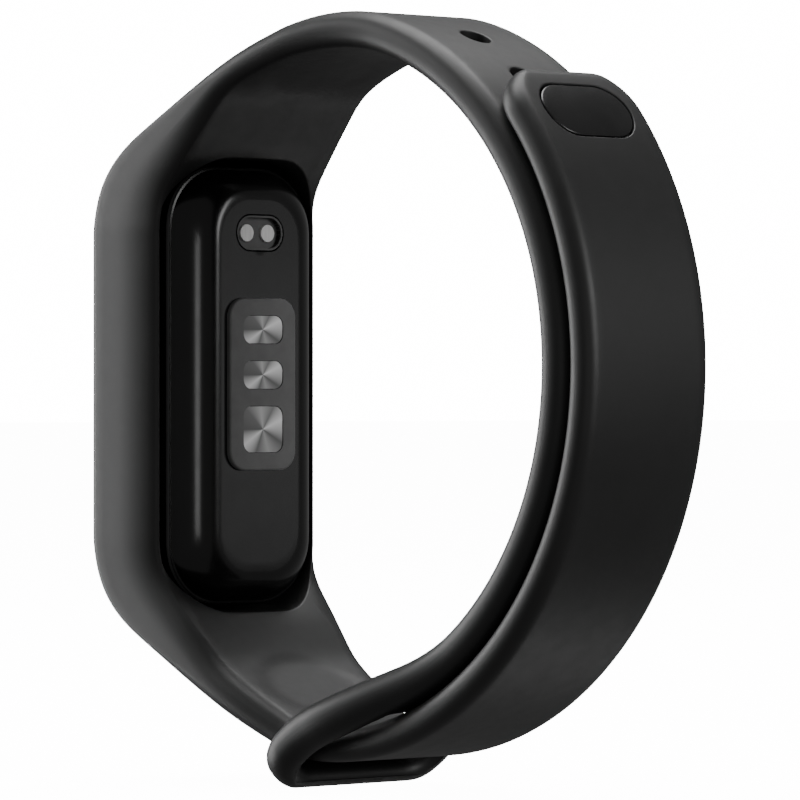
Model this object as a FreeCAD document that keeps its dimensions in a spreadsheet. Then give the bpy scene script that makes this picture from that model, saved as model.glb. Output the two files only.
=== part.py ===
import FreeCAD, Part
import math
import os

import Sketcher
from FreeCAD import Placement, Rotation, Vector

# ---------------------------------------------------------------------------
# Fitness tracker band: a moulded wristband with a cradle, a strap with holes
# that ends in a loop, a strap with a stud that passes through the loop, and a
# tracker capsule with its display, battery, boards, motor and sensors.
# Frame: X runs from the display (-X) to the wrist side (+X), Y along the
# wrist, Z up along the display. The origin is the middle of the wrist
# opening, level with the middle of the capsule.
# ---------------------------------------------------------------------------

doc = FreeCAD.newDocument("tracker_band")
sheet = doc.addObject("Spreadsheet::Sheet", "Sizes")

SIZES = {
    # ring of the straps, seen along the wrist
    "ring_centre_x": -3.3,
    "ring_centre_z": 1.6,
    "wrist_radius": 28.1,
    "strap_thickness": 3.3,
    "strap_width": 14.6,
    "strap_gap": 0.3,
    "outer_strap_thickness": 2.9,
    "shoulder_thickness": 2.4,
    "lower_shoulder_thickness": 3.6,
    "shoulder_growth": 3.0,
    "upper_drop": 1.5,
    "lower_drop": 2.2,
    # loop at the end of the strap with holes
    "loop_rail": 2.4,
    "loop_lead": 7.0,
    "loop_run": 9.6,
    "loop_hook": 8.8,
    "loop_bar": 2.5,
    "loop_corner": 4.5,
    "slot_start_x": 5.2,
    "loop_thickness": 3.8,
    "slot_clearance": 0.35,
    "slot_ease": 0.15,
    "slot_corner": 2.2,
    # holes and stud
    "hole_radius": 1.35,
    "hole_pitch": 6.93,
    "hole_count": 8,
    "stud_hole_angle": 38.7,
    "post_radius": 0.95,
    "post_bore_clearance": 0.05,
    "post_flange_radius": 2.1,
    "post_flange_thickness": 0.5,
    "post_inset": 0.2,
    "cap_length": 9.8,
    "cap_width": 5.6,
    "cap_thickness": 0.8,
    "cap_clearance": 0.15,
    "tail_arc": 29.0,
    "tail_split": 0.25,
    "tip_length": 5.3,
    "tip_corner": 4.8,
    # cradle
    "cradle_front": 31.2,
    "side_wall": 1.0,
    "cradle_depth": 9.0,
    "cradle_corner": 7.5,
    "corner_drop": 5.0,
    "lip_thickness": 1.0,
    "lip_overlap": 1.8,
    "pocket_clearance": 0.3,
    "lip_clearance": 0.15,
    # capsule
    "capsule_height": 40.4,
    "capsule_width": 17.6,
    "capsule_corner": 6.0,
    "capsule_depth": 11.1,
    "back_edge": 2.6,
    "housing_wall": 1.0,
    "inner_clearance": 0.15,
    # display stack
    "adhesive_thickness": 0.15,
    "glass_gap": 0.15,
    "frame_thickness": 1.25,
    "film_thickness": 0.2,
    "display_thickness": 1.05,
    "display_height": 26.4,
    "display_width": 12.0,
    "display_corner": 1.2,
    "display_clearance": 0.2,
    "display_flex_width": 6.0,
    "display_flex_inset": 0.4,
    # battery
    "battery_top_drop": 7.1,
    "battery_gap": 1.9,
    "battery_width": 11.4,
    "battery_thickness": 3.6,
    "foam_thickness": 0.3,
    "foam_margin": 2.0,
    "battery_board_thickness": 0.6,
    "battery_board_depth": 2.4,
    "battery_board_step": 0.5,
    # main board
    "board_thickness": 0.8,
    "board_margin": 0.5,
    "chip_height": 0.8,
    "antenna_depth": 2.0,
    "antenna_width": 8.0,
    "antenna_thickness": 0.3,
    "antenna_step": 1.6,
    # vibration motor
    "motor_radius": 1.8,
    "motor_length": 6.0,
    "motor_rise": 10.6,
    "motor_y": 2.4,
    "motor_pad_thickness": 0.25,
    "motor_pad_width": 2.4,
    "motor_pad_margin": 0.5,
    "shaft_radius": 0.35,
    "shaft_clearance": 0.05,
    "weight_radius": 1.7,
    "weight_length": 3.0,
    "weight_gap": 0.4,
    "weight_hub": 0.3,
    "shaft_end": 0.3,
    # sensor island
    "island_height": 15.6,
    "island_width": 7.8,
    "island_corner": 1.8,
    "island_rise": 0.5,
    "island_ledge": 0.5,
    "island_edge": 0.2,
    "island_z": 0.1,
    "window_width": 4.6,
    "small_window": 2.5,
    "large_window": 4.15,
    "window_corner": 0.9,
    "window_spacing": 4.1,
    "window_rise": 0.85,
    "window_sink": 0.08,
    "window_clearance": 0.05,
    "sensor_board_thickness": 0.6,
    "barrier_thickness": 0.55,
    "barrier_margin": 0.7,
    "barrier_side_wall": 0.3,
    "barrier_end_wall": 0.2,
    "led_thickness": 0.4,
    "led_width": 1.6,
    "led_height": 1.2,
    "photodiode_width": 3.0,
    "photodiode_height": 2.6,
    "sensor_flex_width": 3.0,
    "sensor_flex_thickness": 0.25,
    "sensor_flex_inset": 0.6,
    # charging port
    "port_drop": 6.4,
    "port_width": 5.1,
    "port_height": 2.8,
    "port_recess": 0.6,
    "port_wall": 0.35,
    "port_floor": 0.8,
    "port_flange": 0.6,
    "seal_thickness": 0.2,
    "seal_inset": 0.1,
    "contact_radius": 0.77,
    "contact_spacing": 2.45,
    "contact_sink": 0.35,
    "pin_radius": 0.4,
    "pin_clearance": 0.02,
}
for row, (alias, value) in enumerate(SIZES.items(), start=1):
    sheet.set("A%d" % row, alias)
    sheet.set("B%d" % row, str(value))
    sheet.setAlias("B%d" % row, alias)
doc.recompute()


def bound(text):
    """The same formula with every size written as a cell of the sheet."""
    words = []
    word = ""
    for letter in text + " ":
        if letter.isalnum() or letter == "_":
            word += letter
            continue
        words.append("Sizes." + word if word in SIZES else word)
        words.append(letter)
        word = ""
    return "".join(words).strip()


def number(text):
    """The value of a formula of sizes, in millimetres or degrees."""
    return float(sheet.evalExpression(bound(str(text))))


# ---------------------------------------------------------------------------
# Formulas that several pieces share
# ---------------------------------------------------------------------------

INNER_MID_RADIUS = "(wrist_radius + strap_thickness / 2)"
OUTER_MID_RADIUS = "(wrist_radius + strap_thickness + strap_gap + outer_strap_thickness / 2)"
OUTER_SURFACE_RADIUS = "(wrist_radius + strap_thickness + strap_gap + outer_strap_thickness)"
SHOULDER_WIDTH = "(strap_width + shoulder_growth)"
SLOT_WIDTH = "(strap_width + 2 * slot_clearance + 2 * slot_ease)"
LOOP_WIDTH = "(strap_width + 2 * slot_clearance + 2 * slot_ease + 2 * loop_rail)"
CRADLE_WIDTH = "(capsule_width + 2 * pocket_clearance + 2 * side_wall)"
LIP_OPENING_WIDTH = "(capsule_width + 2 * pocket_clearance - 2 * lip_overlap)"
LIP_OPENING_HEIGHT = "(capsule_height + 2 * pocket_clearance - 2 * lip_overlap)"
LIP_OPENING_CORNER = "(capsule_corner + pocket_clearance - lip_overlap)"
CAPSULE_FRONT_X = "(lip_thickness + lip_clearance - cradle_front)"
CAPSULE_BACK_X = "(lip_thickness + lip_clearance - cradle_front + capsule_depth)"
CAVITY_HEIGHT = "(capsule_height - 2 * housing_wall)"
CAVITY_WIDTH = "(capsule_width - 2 * housing_wall)"
CAVITY_CORNER = "(capsule_corner - housing_wall)"
BACK_WALL_X = "(lip_thickness + lip_clearance - cradle_front + capsule_depth - housing_wall)"
GLASS_BACK_X = "(lip_thickness - cradle_front)"
DISPLAY_FRONT_X = "(lip_thickness - cradle_front + film_thickness)"
DISPLAY_BACK_X = "(lip_thickness - cradle_front + film_thickness + display_thickness)"
MOTOR_Z = "(motor_rise - capsule_height / 2)"
BATTERY_TOP_Z = "(capsule_height / 2 - battery_top_drop)"
BATTERY_LOW_Z = "(motor_rise - capsule_height / 2 + motor_radius + battery_gap)"
BATTERY_HEIGHT = "(" + BATTERY_TOP_Z + " - " + BATTERY_LOW_Z + ")"
BATTERY_Z = "((" + BATTERY_TOP_Z + " + " + BATTERY_LOW_Z + ") / 2)"
PORT_Z = "(capsule_height / 2 - port_drop)"
BATTERY_FRONT_X = DISPLAY_BACK_X[:-1] + " + inner_clearance)"
BATTERY_BACK_X = BATTERY_FRONT_X[:-1] + " + battery_thickness)"
BOARD_FRONT_X = BATTERY_BACK_X[:-1] + " + foam_thickness)"
BOARD_BACK_X = BOARD_FRONT_X[:-1] + " + board_thickness)"
BARRIER_FRONT_X = BACK_WALL_X[:-1] + " - barrier_thickness)"
SENSOR_BOARD_X = BACK_WALL_X[:-1] + " - barrier_thickness - sensor_board_thickness)"
ISLAND_FACE_X = CAPSULE_BACK_X[:-1] + " + island_rise)"
PORT_FLOOR_X = CAPSULE_BACK_X[:-1] + " - port_recess)"
WINDOW_CENTRES = {
    "window_upper": "(island_z + window_rise + window_spacing)",
    "window_middle": "(island_z + window_rise)",
    "window_lower": "(island_z + window_rise - window_spacing - large_window / 2 + small_window / 2)",
}
WINDOW_HEIGHTS = {
    "window_upper": "small_window",
    "window_middle": "small_window",
    "window_lower": "large_window",
}
SHOULDER_ANGLE = 113.0
SHOULDER_BLEND_ANGLE = 75.0
LOOP_START_ANGLE = -68.0
LOWER_SHOULDER_ANGLE = -112.0
LOWER_BLEND_ANGLE = -90.0
LOWER_WAIST_ANGLE = -92.0
LOOP_TURN = 36.0

nodes = []


# ---------------------------------------------------------------------------
# Ways to make a piece
# ---------------------------------------------------------------------------

def new_body(label):
    body = doc.addObject("PartDesign::Body", label + "_body")
    body.Label = label
    nodes.append(body)
    return body


def new_sketch(body, plane_role, offset="0"):
    """A sketch on one of the body's own origin planes, moved along its normal."""
    plane = [item for item in body.Origin.OriginFeatures if item.Role == plane_role][0]
    sketch = body.newObject("Sketcher::SketchObject", body.Label + "_sketch")
    sketch.AttachmentSupport = [(plane, "")]
    sketch.MapMode = "FlatFace"
    sketch.setExpression("AttachmentOffset.Base.z", bound(offset))
    return sketch


def constrain(sketch, name, kind, *args):
    """A named dimension of a sketch, bound to a formula of sizes."""
    formula = args[-1]
    index = sketch.addConstraint(Sketcher.Constraint(kind, *args[:-1], number(formula)))
    sketch.renameConstraint(index, name)
    sketch.setExpression("Constraints." + name, bound(formula))


def rounded_rectangle(sketch, width, height, corner, centre_x="0", centre_y="0", tag="a"):
    """A rectangle with round corners: width along x, height along y."""
    half_x = number(width) / 2
    half_y = number(height) / 2
    radius = number(corner)
    cx = number(centre_x)
    cy = number(centre_y)
    up = Vector(0, 0, 1)
    first = sketch.GeometryCount
    sides = (
        ((-half_x + radius, half_y), (half_x - radius, half_y)),
        ((half_x, half_y - radius), (half_x, -half_y + radius)),
        ((half_x - radius, -half_y), (-half_x + radius, -half_y)),
        ((-half_x, -half_y + radius), (-half_x, half_y - radius)),
    )
    for start, end in sides:
        line = Part.LineSegment(Vector(cx + start[0], cy + start[1], 0), Vector(cx + end[0], cy + end[1], 0))
        sketch.addGeometry(line, False)
    for sign_x, sign_y, begin in ((1, 1, 0.0), (1, -1, 1.5), (-1, -1, 1.0), (-1, 1, 0.5)):
        middle = Vector(cx + sign_x * (half_x - radius), cy + sign_y * (half_y - radius), 0)
        circle = Part.Circle(middle, up, radius)
        sketch.addGeometry(Part.ArcOfCircle(circle, begin * math.pi, (begin + 0.5) * math.pi), False)
    top, right, bottom, left = first, first + 1, first + 2, first + 3
    arc_tr, arc_br, arc_bl, arc_tl = first + 4, first + 5, first + 6, first + 7
    joins = (
        (top, 2, arc_tr, 2), (arc_tr, 1, right, 1), (right, 2, arc_br, 2), (arc_br, 1, bottom, 1),
        (bottom, 2, arc_bl, 2), (arc_bl, 1, left, 1), (left, 2, arc_tl, 2), (arc_tl, 1, top, 1),
    )
    for join in joins:
        sketch.addConstraint(Sketcher.Constraint("Tangent", *join))
    for kind, line in (("Horizontal", top), ("Vertical", right), ("Horizontal", bottom), ("Vertical", left)):
        sketch.addConstraint(Sketcher.Constraint(kind, line))
    for arc in (arc_br, arc_bl, arc_tl):
        sketch.addConstraint(Sketcher.Constraint("Equal", arc_tr, arc))
    constrain(sketch, tag + "_radius", "Radius", arc_tr, corner)
    constrain(sketch, tag + "_width", "DistanceX", left, 1, right, 1, width)
    constrain(sketch, tag + "_height", "DistanceY", bottom, 1, top, 1, height)
    constrain(sketch, tag + "_right", "DistanceX", -1, 1, right, 1, "(%s) + (%s) / 2" % (centre_x, width))
    constrain(sketch, tag + "_top", "DistanceY", -1, 1, top, 1, "(%s) + (%s) / 2" % (centre_y, height))


def pill(sketch, length, width, centre_x="0", centre_y="0", tag="a"):
    """A slot shape: length along x, round ends of almost the full width."""
    rounded_rectangle(sketch, length, width, "0.499 * (%s)" % width, centre_x, centre_y, tag)


def circle(sketch, radius, centre_x="0", centre_y="0", tag="c"):
    middle = Vector(number(centre_x), number(centre_y), 0)
    index = sketch.addGeometry(Part.Circle(middle, Vector(0, 0, 1), number(radius)), False)
    constrain(sketch, tag + "_radius", "Radius", index, radius)
    constrain(sketch, tag + "_x", "DistanceX", -1, 1, index, 3, centre_x)
    constrain(sketch, tag + "_y", "DistanceY", -1, 1, index, 3, centre_y)


def closed_outline(sketch, points, arcs=None):
    """A closed outline; arcs gives, for a side's number, the point that its arc passes."""
    arcs = arcs or {}
    count = len(points)
    for index in range(count):
        here = Vector(points[index][0], points[index][1], 0)
        ahead = Vector(points[(index + 1) % count][0], points[(index + 1) % count][1], 0)
        if index in arcs:
            through = Vector(arcs[index][0], arcs[index][1], 0)
            side = Part.Arc(here, through, ahead)
        else:
            side = Part.LineSegment(here, ahead)
        added = sketch.addGeometry(side, False)
        sketch.addConstraint(Sketcher.Constraint("Block", added))


def pad(body, sketch, length, middle=False):
    feature = body.newObject("PartDesign::Pad", body.Label + "_pad")
    feature.Profile = sketch
    feature.Midplane = middle
    feature.setExpression("Length", bound(length))
    return feature


def pocket(body, sketch, length="", through=False, backwards=False, middle=False):
    feature = body.newObject("PartDesign::Pocket", body.Label + "_pocket")
    feature.Profile = sketch
    feature.Midplane = middle
    feature.Reversed = backwards
    if through:
        feature.Type = "ThroughAll"
    else:
        feature.setExpression("Length", bound(length))
    return feature


def round_edges(body, base, radius, wanted):
    """A fillet on the edges of the base feature that the test picks."""
    doc.recompute()
    names = []
    for index, edge in enumerate(base.Shape.Edges, start=1):
        if wanted(edge):
            names.append("Edge%d" % index)
    feature = body.newObject("PartDesign::Fillet", body.Label + "_fillet")
    feature.Base = (base, names)
    feature.setExpression("Radius", bound(radius))
    return feature


def flat_at(axis, place, tolerance=0.01):
    """A test for edges that lie whole in the plane axis = place."""
    def test(edge):
        low = getattr(edge.BoundBox, axis + "Min")
        high = getattr(edge.BoundBox, axis + "Max")
        return abs(low - place) < tolerance and abs(high - place) < tolerance
    return test


def block(label, size_x, size_y, size_z, low_x, mid_y="0", mid_z="0"):
    """A plain block, placed by its low X and by the middle of its Y and Z."""
    item = doc.addObject("Part::Box", label + "_box")
    item.Label = label
    item.setExpression("Length", bound(size_x))
    item.setExpression("Width", bound(size_y))
    item.setExpression("Height", bound(size_z))
    item.setExpression("Placement.Base.x", bound(low_x))
    item.setExpression("Placement.Base.y", bound("(%s) - (%s) / 2" % (mid_y, size_y)))
    item.setExpression("Placement.Base.z", bound("(%s) - (%s) / 2" % (mid_z, size_z)))
    nodes.append(item)
    return item


def rounded_plate(label, width, height, corner, thickness, low_x, mid_y="0", mid_z="0"):
    """A plate across X with round corners."""
    body = new_body(label)
    sketch = new_sketch(body, "YZ_Plane", low_x)
    rounded_rectangle(sketch, width, height, corner, mid_y, mid_z)
    pad(body, sketch, thickness)
    return body


# ---------------------------------------------------------------------------
# Routes of the two straps, seen along the wrist
# ---------------------------------------------------------------------------

def smooth(value):
    value = min(max(value, 0.0), 1.0)
    return value * value * (3 - 2 * value)


def mix(start, end, share):
    return start + (end - start) * share


def ring_point(radius, angle):
    turn = math.radians(angle)
    centre_x = number("ring_centre_x")
    centre_z = number("ring_centre_z")
    return Vector(centre_x + radius * math.cos(turn), 0, centre_z + radius * math.sin(turn))


def upper_share(angle):
    """0 on the round part of the strap, 1 at the cradle's upper shoulder."""
    return smooth((angle - SHOULDER_BLEND_ANGLE) / (SHOULDER_ANGLE - SHOULDER_BLEND_ANGLE))


def hole_side_point(angle):
    drop = number("upper_drop") * upper_share(angle)
    return ring_point(number(INNER_MID_RADIUS) - drop, angle)


def lower_share(angle):
    """0 on the round part of the outer strap, 1 at the cradle's lower shoulder."""
    return smooth((LOWER_BLEND_ANGLE - angle) / (LOWER_BLEND_ANGLE - LOWER_SHOULDER_ANGLE))


def stud_side_point(angle):
    drop = number("lower_drop") * lower_share(angle)
    return ring_point(number(OUTER_MID_RADIUS) - drop, angle)


def heading(route, angle, step=0.05):
    """Unit direction of travel on a route, towards falling angles."""
    ahead = route(angle - step)
    behind = route(angle + step)
    return (ahead - behind).normalize()


def station(point, direction, half_width, thickness):
    return {"point": point, "direction": direction, "half_width": half_width, "thickness": thickness}


def lofted_strap(label, stations):
    """A strap with round edges, lofted through sections across its route."""
    body = new_body(label)
    sketches = []
    for place in stations:
        direction = place["direction"]
        normal = Vector(-direction.z, 0, direction.x)
        turned = Placement(place["point"], Rotation(Vector(0, 1, 0), normal, direction, "ZXY"))
        sketch = placed_sketch(body, turned)
        radius = place["thickness"] / 2
        straight = place["half_width"] - radius
        for sign in (1, -1):
            left = Vector(-straight * sign, radius * sign, 0)
            right = Vector(straight * sign, radius * sign, 0)
            sketch.addGeometry(Part.LineSegment(left, right), False)
            end_circle = Part.Circle(Vector(straight * sign, 0, 0), Vector(0, 0, 1), radius)
            begin = -math.pi / 2 * sign
            sketch.addGeometry(Part.ArcOfCircle(end_circle, begin, begin + math.pi), False)
        for join in ((0, 2, 1, 2), (1, 1, 2, 1), (2, 2, 3, 2), (3, 1, 0, 1)):
            sketch.addConstraint(Sketcher.Constraint("Coincident", *join))
        sketches.append(sketch)
    loft = body.newObject("PartDesign::AdditiveLoft", label + "_loft")
    loft.Profile = sketches[0]
    loft.Sections = sketches[1:]
    loft.Ruled = False
    return body


def placed_sketch(body, placement):
    """A sketch on the body's XY plane, moved to any placement."""
    sketch = new_sketch(body, "XY_Plane")
    sketch.setExpression("AttachmentOffset.Base.z", None)
    sketch.AttachmentOffset = placement
    return sketch


def radial_placement(radius, angle):
    """Local z points out of the ring, local x along the wrist."""
    outward = ring_point(1.0, angle) - ring_point(0.0, angle)
    around = Vector(-outward.z, 0, outward.x)
    return Placement(ring_point(radius, angle), Rotation(Vector(0, 1, 0), around, outward, "ZXY"))


def rounded_end(left, corner, half_width, thickness):
    """Half width and thickness of a strap at a distance from its round end."""
    inset = max(corner - left, 0.0)
    half = half_width - corner + math.sqrt(max(corner * corner - inset * inset, 0.0))
    edge = thickness / 2
    sunk = max(edge - left, 0.0)
    height = 2 * math.sqrt(max(edge * edge - sunk * sunk, 0.0))
    return half, max(height, thickness / 3)


# ---------------------------------------------------------------------------
# The band
# ---------------------------------------------------------------------------

def loop_flare(travelled):
    """0 on the plain strap, 1 where the loop has its full width."""
    lead = number("loop_lead")
    return smooth((travelled + lead) / (number("loop_run") + lead))


def across(direction):
    """The direction square to a strap's route, in the plane of the ring."""
    return Vector(-direction.z, 0, direction.x)


def corner_middle():
    """Middle of the round corner between the cradle's front and its upper shoulder."""
    return Vector(number("cradle_corner - cradle_front"), 0, number("capsule_height / 2 - corner_drop"))


def touching_point(outside, middle, radius):
    """Where a line from a point outside touches a circle, on the circle's far side from +X."""
    gap = outside - middle
    reach = gap.Length
    base = math.atan2(gap.z, gap.x)
    swing = math.acos(radius / reach)
    turn = base + swing
    return middle + Vector(math.cos(turn), 0, math.sin(turn)) * radius, turn


def make_cradle():
    body = new_body("cradle")
    front = -number("cradle_front")
    back = front + number("cradle_depth")
    inner_z = number("capsule_height") / 2 - number("capsule_corner") / 2
    half = number("shoulder_thickness") / 2
    low_half_thick = number("lower_shoulder_thickness") / 2
    upper = hole_side_point(SHOULDER_ANGLE)
    upper_square = across(heading(hole_side_point, SHOULDER_ANGLE))
    upper_out = upper + upper_square * half
    upper_in = upper - upper_square * half
    lower = stud_side_point(LOWER_SHOULDER_ANGLE)
    lower_square = across(heading(stud_side_point, LOWER_SHOULDER_ANGLE))
    lower_out = lower + lower_square * low_half_thick
    lower_in = lower - lower_square * low_half_thick
    middle = corner_middle()
    radius = number("cradle_corner")
    touch, turn = touching_point(upper_out, middle, radius)
    half_turn = (turn + math.pi) / 2
    through = middle + Vector(math.cos(half_turn), 0, math.sin(half_turn)) * radius
    mirrored = Vector(lower_out.x, 0, -lower_out.z)
    low_touch, low_turn = touching_point(mirrored, middle, radius)
    low_half = (low_turn + math.pi) / 2
    low_through = middle + Vector(math.cos(low_half), 0, math.sin(low_half)) * radius
    outline = [
        (front, -middle.z),
        (front, middle.z),
        (touch.x, touch.z),
        (upper_out.x, upper_out.z),
        (upper_in.x, upper_in.z),
        (back, inner_z),
        (back, -inner_z),
        (lower_in.x, lower_in.z),
        (lower_out.x, lower_out.z),
        (low_touch.x, -low_touch.z),
    ]
    side = new_sketch(body, "XZ_Plane")
    closed_outline(side, outline, {1: (through.x, through.z), 9: (low_through.x, -low_through.z)})
    pad(body, side, CRADLE_WIDTH, middle=True)

    waist = new_sketch(body, "YZ_Plane")
    beyond = 1.0
    tall = max(upper_out.z, -lower_out.z) + beyond
    outer_y = number(CRADLE_WIDTH) / 2
    inner_y = number(SHOULDER_WIDTH) / 2
    start_z = number("capsule_height / 2 - capsule_corner / 2")
    for sign_y in (1, -1):
        for sign_z, end_z in ((1, upper_out.z), (-1, -lower_out.z)):
            closed_outline(waist, (
                (sign_y * outer_y, sign_z * start_z),
                (sign_y * (outer_y + beyond), sign_z * start_z),
                (sign_y * (outer_y + beyond), sign_z * tall),
                (sign_y * inner_y, sign_z * tall),
                (sign_y * inner_y, sign_z * end_z),
            ))
    pocket(body, waist, through=True, middle=True)

    # the seat of the capsule follows the cradle's front, one lip inside it
    tool = doc.addObject("PartDesign::Body", "seat_tool")
    tool.Label = "seat_tool"
    space = new_sketch(tool, "YZ_Plane", "lip_thickness - cradle_front")
    rounded_rectangle(
        space, "capsule_width + 2 * pocket_clearance", "capsule_height + 2 * pocket_clearance",
        "capsule_corner + pocket_clearance",
    )
    pad(tool, space, "2 * cradle_depth")
    trim_front(tool, "lip_thickness", "capsule_height / 2 + pocket_clearance")
    seat = body.newObject("PartDesign::Boolean", "cradle_seat")
    seat.Type = "Cut"
    seat.setObjects([tool])
    window = new_sketch(body, "YZ_Plane")
    rounded_rectangle(window, LIP_OPENING_WIDTH, LIP_OPENING_HEIGHT, LIP_OPENING_CORNER)
    pocket(body, window, through=True)


def front_arc(depth, top):
    """Upper corner of the front's side view, depth inside the front surface, up to a height."""
    middle = corner_middle()
    radius = number("cradle_corner") - number(depth)
    rise = min(top - middle.z, radius)
    reach = math.sqrt(radius * radius - rise * rise)
    bend = (math.pi + math.atan2(rise, -reach)) / 2
    through = (middle.x + math.cos(bend) * radius, middle.z + math.sin(bend) * radius)
    start = (middle.x - radius, middle.z)
    end = (middle.x - reach, middle.z + rise)
    return start, through, end


def trim_front(body, depth, half_height):
    """Cuts away what stands outside the round upper and lower corners of the front."""
    margin = 2.0
    start, through, end = front_arc(depth, number(half_height))
    sketch = new_sketch(body, "XZ_Plane")
    for sign in (1, -1):
        closed_outline(sketch, (
            (start[0], sign * start[1]),
            (end[0], sign * end[1]),
            (end[0], sign * (end[1] + margin)),
            (start[0] - margin, sign * (end[1] + margin)),
            (start[0] - margin, sign * start[1]),
        ), {0: (through[0], sign * through[1])})
    pocket(body, sketch, through=True, middle=True)


def hollow_behind(body, depth, half_height):
    """Cuts away what lies more than depth inside the front."""
    start, through, end = front_arc(depth, number(half_height))
    rear = start[0] + number("cradle_depth") + number("capsule_depth")
    sketch = new_sketch(body, "XZ_Plane")
    closed_outline(sketch, (
        (start[0], -start[1]),
        start,
        end,
        (rear, end[1]),
        (rear, -end[1]),
        (end[0], -end[1]),
    ), {1: through, 5: (through[0], -through[1])})
    pocket(body, sketch, through=True, middle=True)


def front_layer(label, depth, thickness, outline, opening=None):
    """A layer that follows the front's side view, with an outline and an opening seen from the front."""
    body = new_body(label)
    sketch = new_sketch(body, "YZ_Plane", "(%s) - cradle_front" % depth)
    rounded_rectangle(sketch, *outline, tag="a")
    if opening:
        rounded_rectangle(sketch, *opening, tag="b")
    pad(body, sketch, "cradle_corner")
    past_the_outline = "(%s) / 2 + lip_thickness / 2" % outline[1]
    trim_front(body, depth, past_the_outline)
    hollow_behind(body, "(%s) + (%s)" % (depth, thickness), past_the_outline)
    return body


def make_hole_side():
    thickness = number("strap_thickness")
    stations = []
    upper_steps = 4
    for step in range(upper_steps):
        angle = mix(SHOULDER_ANGLE, SHOULDER_BLEND_ANGLE, step / upper_steps)
        share = upper_share(angle)
        half = mix(number("strap_width"), number(SHOULDER_WIDTH), share) / 2
        thin = mix(thickness, number("shoulder_thickness"), share)
        stations.append(station(hole_side_point(angle), heading(hole_side_point, angle), half, thin))
    round_steps = 14
    for step in range(round_steps + 1):
        angle = mix(SHOULDER_BLEND_ANGLE, LOOP_START_ANGLE, step / round_steps)
        direction = heading(hole_side_point, angle)
        flare = loop_flare(math.radians(LOOP_START_ANGLE - angle) * number(INNER_MID_RADIUS))
        half = mix(number("strap_width"), number(LOOP_WIDTH), flare) / 2
        thin = mix(thickness, number("loop_thickness"), flare)
        stations.append(station(hole_side_point(angle), direction, half, thin))
    for place, direction, left, flare in loop_route():
        half = mix(number("strap_width"), number(LOOP_WIDTH), flare) / 2
        thin = mix(thickness, number("loop_thickness"), flare)
        half, thin = rounded_end(left, number("loop_corner"), half, thin)
        stations.append(station(place, direction, half, thin))
    body = lofted_strap("strap_hole_side", stations)
    relieve_loop(body)
    slot = new_sketch(body, "XY_Plane", "-wrist_radius / 2")
    end_x = stations[-1]["point"].x + number("loop_bar")
    length = number("slot_start_x") - end_x
    rounded_rectangle(slot, str(length), SLOT_WIDTH, "slot_corner", str(end_x + length / 2))
    pocket(body, slot, through=True)
    first_angle = number("stud_hole_angle") + 2 * hole_step()
    for index in range(int(number("hole_count"))):
        angle = first_angle - index * hole_step()
        hole = placed_sketch(body, radial_placement(number(INNER_MID_RADIUS) + thickness, angle))
        circle(hole, "hole_radius")
        pocket(body, hole, "2 * strap_thickness")
    return body


def hole_step():
    """Angle from one hole to the next."""
    return math.degrees(number("hole_pitch") / number(INNER_MID_RADIUS))


def loop_route():
    """Places after the round part: a straight run, then a hook, to the loop's end."""
    place = hole_side_point(LOOP_START_ANGLE)
    direction = heading(hole_side_point, LOOP_START_ANGLE)
    run = number("loop_run")
    hook = number("loop_hook")
    wanted = [run * 0.35, run * 0.7, run, run + hook * 0.3]
    wanted += [run + hook - gap for gap in (number("loop_corner"), 2.4, 1.1, 0.35, 0.0)]
    route = []
    travelled = 0.0
    step = 0.05
    for target in wanted:
        while travelled < target - step / 2:
            turn = 0.0
            if travelled > run:
                turn = math.radians(LOOP_TURN) * step / hook
            direction = Vector(
                direction.x * math.cos(turn) - direction.z * math.sin(turn),
                0,
                direction.x * math.sin(turn) + direction.z * math.cos(turn),
            )
            place = place + direction * step
            travelled += step
        left = run + hook - travelled
        route.append((place, direction, left, loop_flare(travelled)))
    return route


def split_angle():
    """Where the tail starts, on the outer strap."""
    return number("stud_hole_angle") - number("tail_arc")


def stud_side_stations(angles, growth=0.0):
    """Sections of the outer strap; growth makes the same strap thicker all round."""
    stations = []
    for angle in angles:
        share = lower_share(angle)
        width_share = smooth((LOWER_WAIST_ANGLE - angle) / (LOWER_WAIST_ANGLE - LOWER_SHOULDER_ANGLE))
        half = mix(number("strap_width"), number(SHOULDER_WIDTH), width_share) / 2 + growth
        root = number("lower_shoulder_thickness")
        thin = mix(number("outer_strap_thickness"), root, share) + 2 * growth
        stations.append(station(stud_side_point(angle), heading(stud_side_point, angle), half, thin))
    return stations


def make_stud_side():
    gap_angle = math.degrees(number("tail_split") / 2 / number(OUTER_MID_RADIUS))
    last = split_angle() - gap_angle
    angles = [mix(LOWER_SHOULDER_ANGLE, LOWER_BLEND_ANGLE, step / 5) for step in range(5)]
    angles += [mix(LOWER_BLEND_ANGLE, last, step / 7) for step in range(8)]
    return lofted_strap("strap_stud_side", stud_side_stations(angles))


def relieve_loop(body):
    """Cuts the room that the outer strap needs where it passes through the loop."""
    before_the_bar = LOWER_SHOULDER_ANGLE + 6
    after_the_slot = LOOP_START_ANGLE + 4
    steps = 9
    angles = [mix(before_the_bar, after_the_slot, step / steps) for step in range(steps + 1)]
    tool = lofted_strap("loop_relief", stud_side_stations(angles, number("slot_clearance")))
    nodes.remove(tool)
    cut = body.newObject("PartDesign::Boolean", "strap_relief")
    cut.Type = "Cut"
    cut.setObjects([tool])


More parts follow.
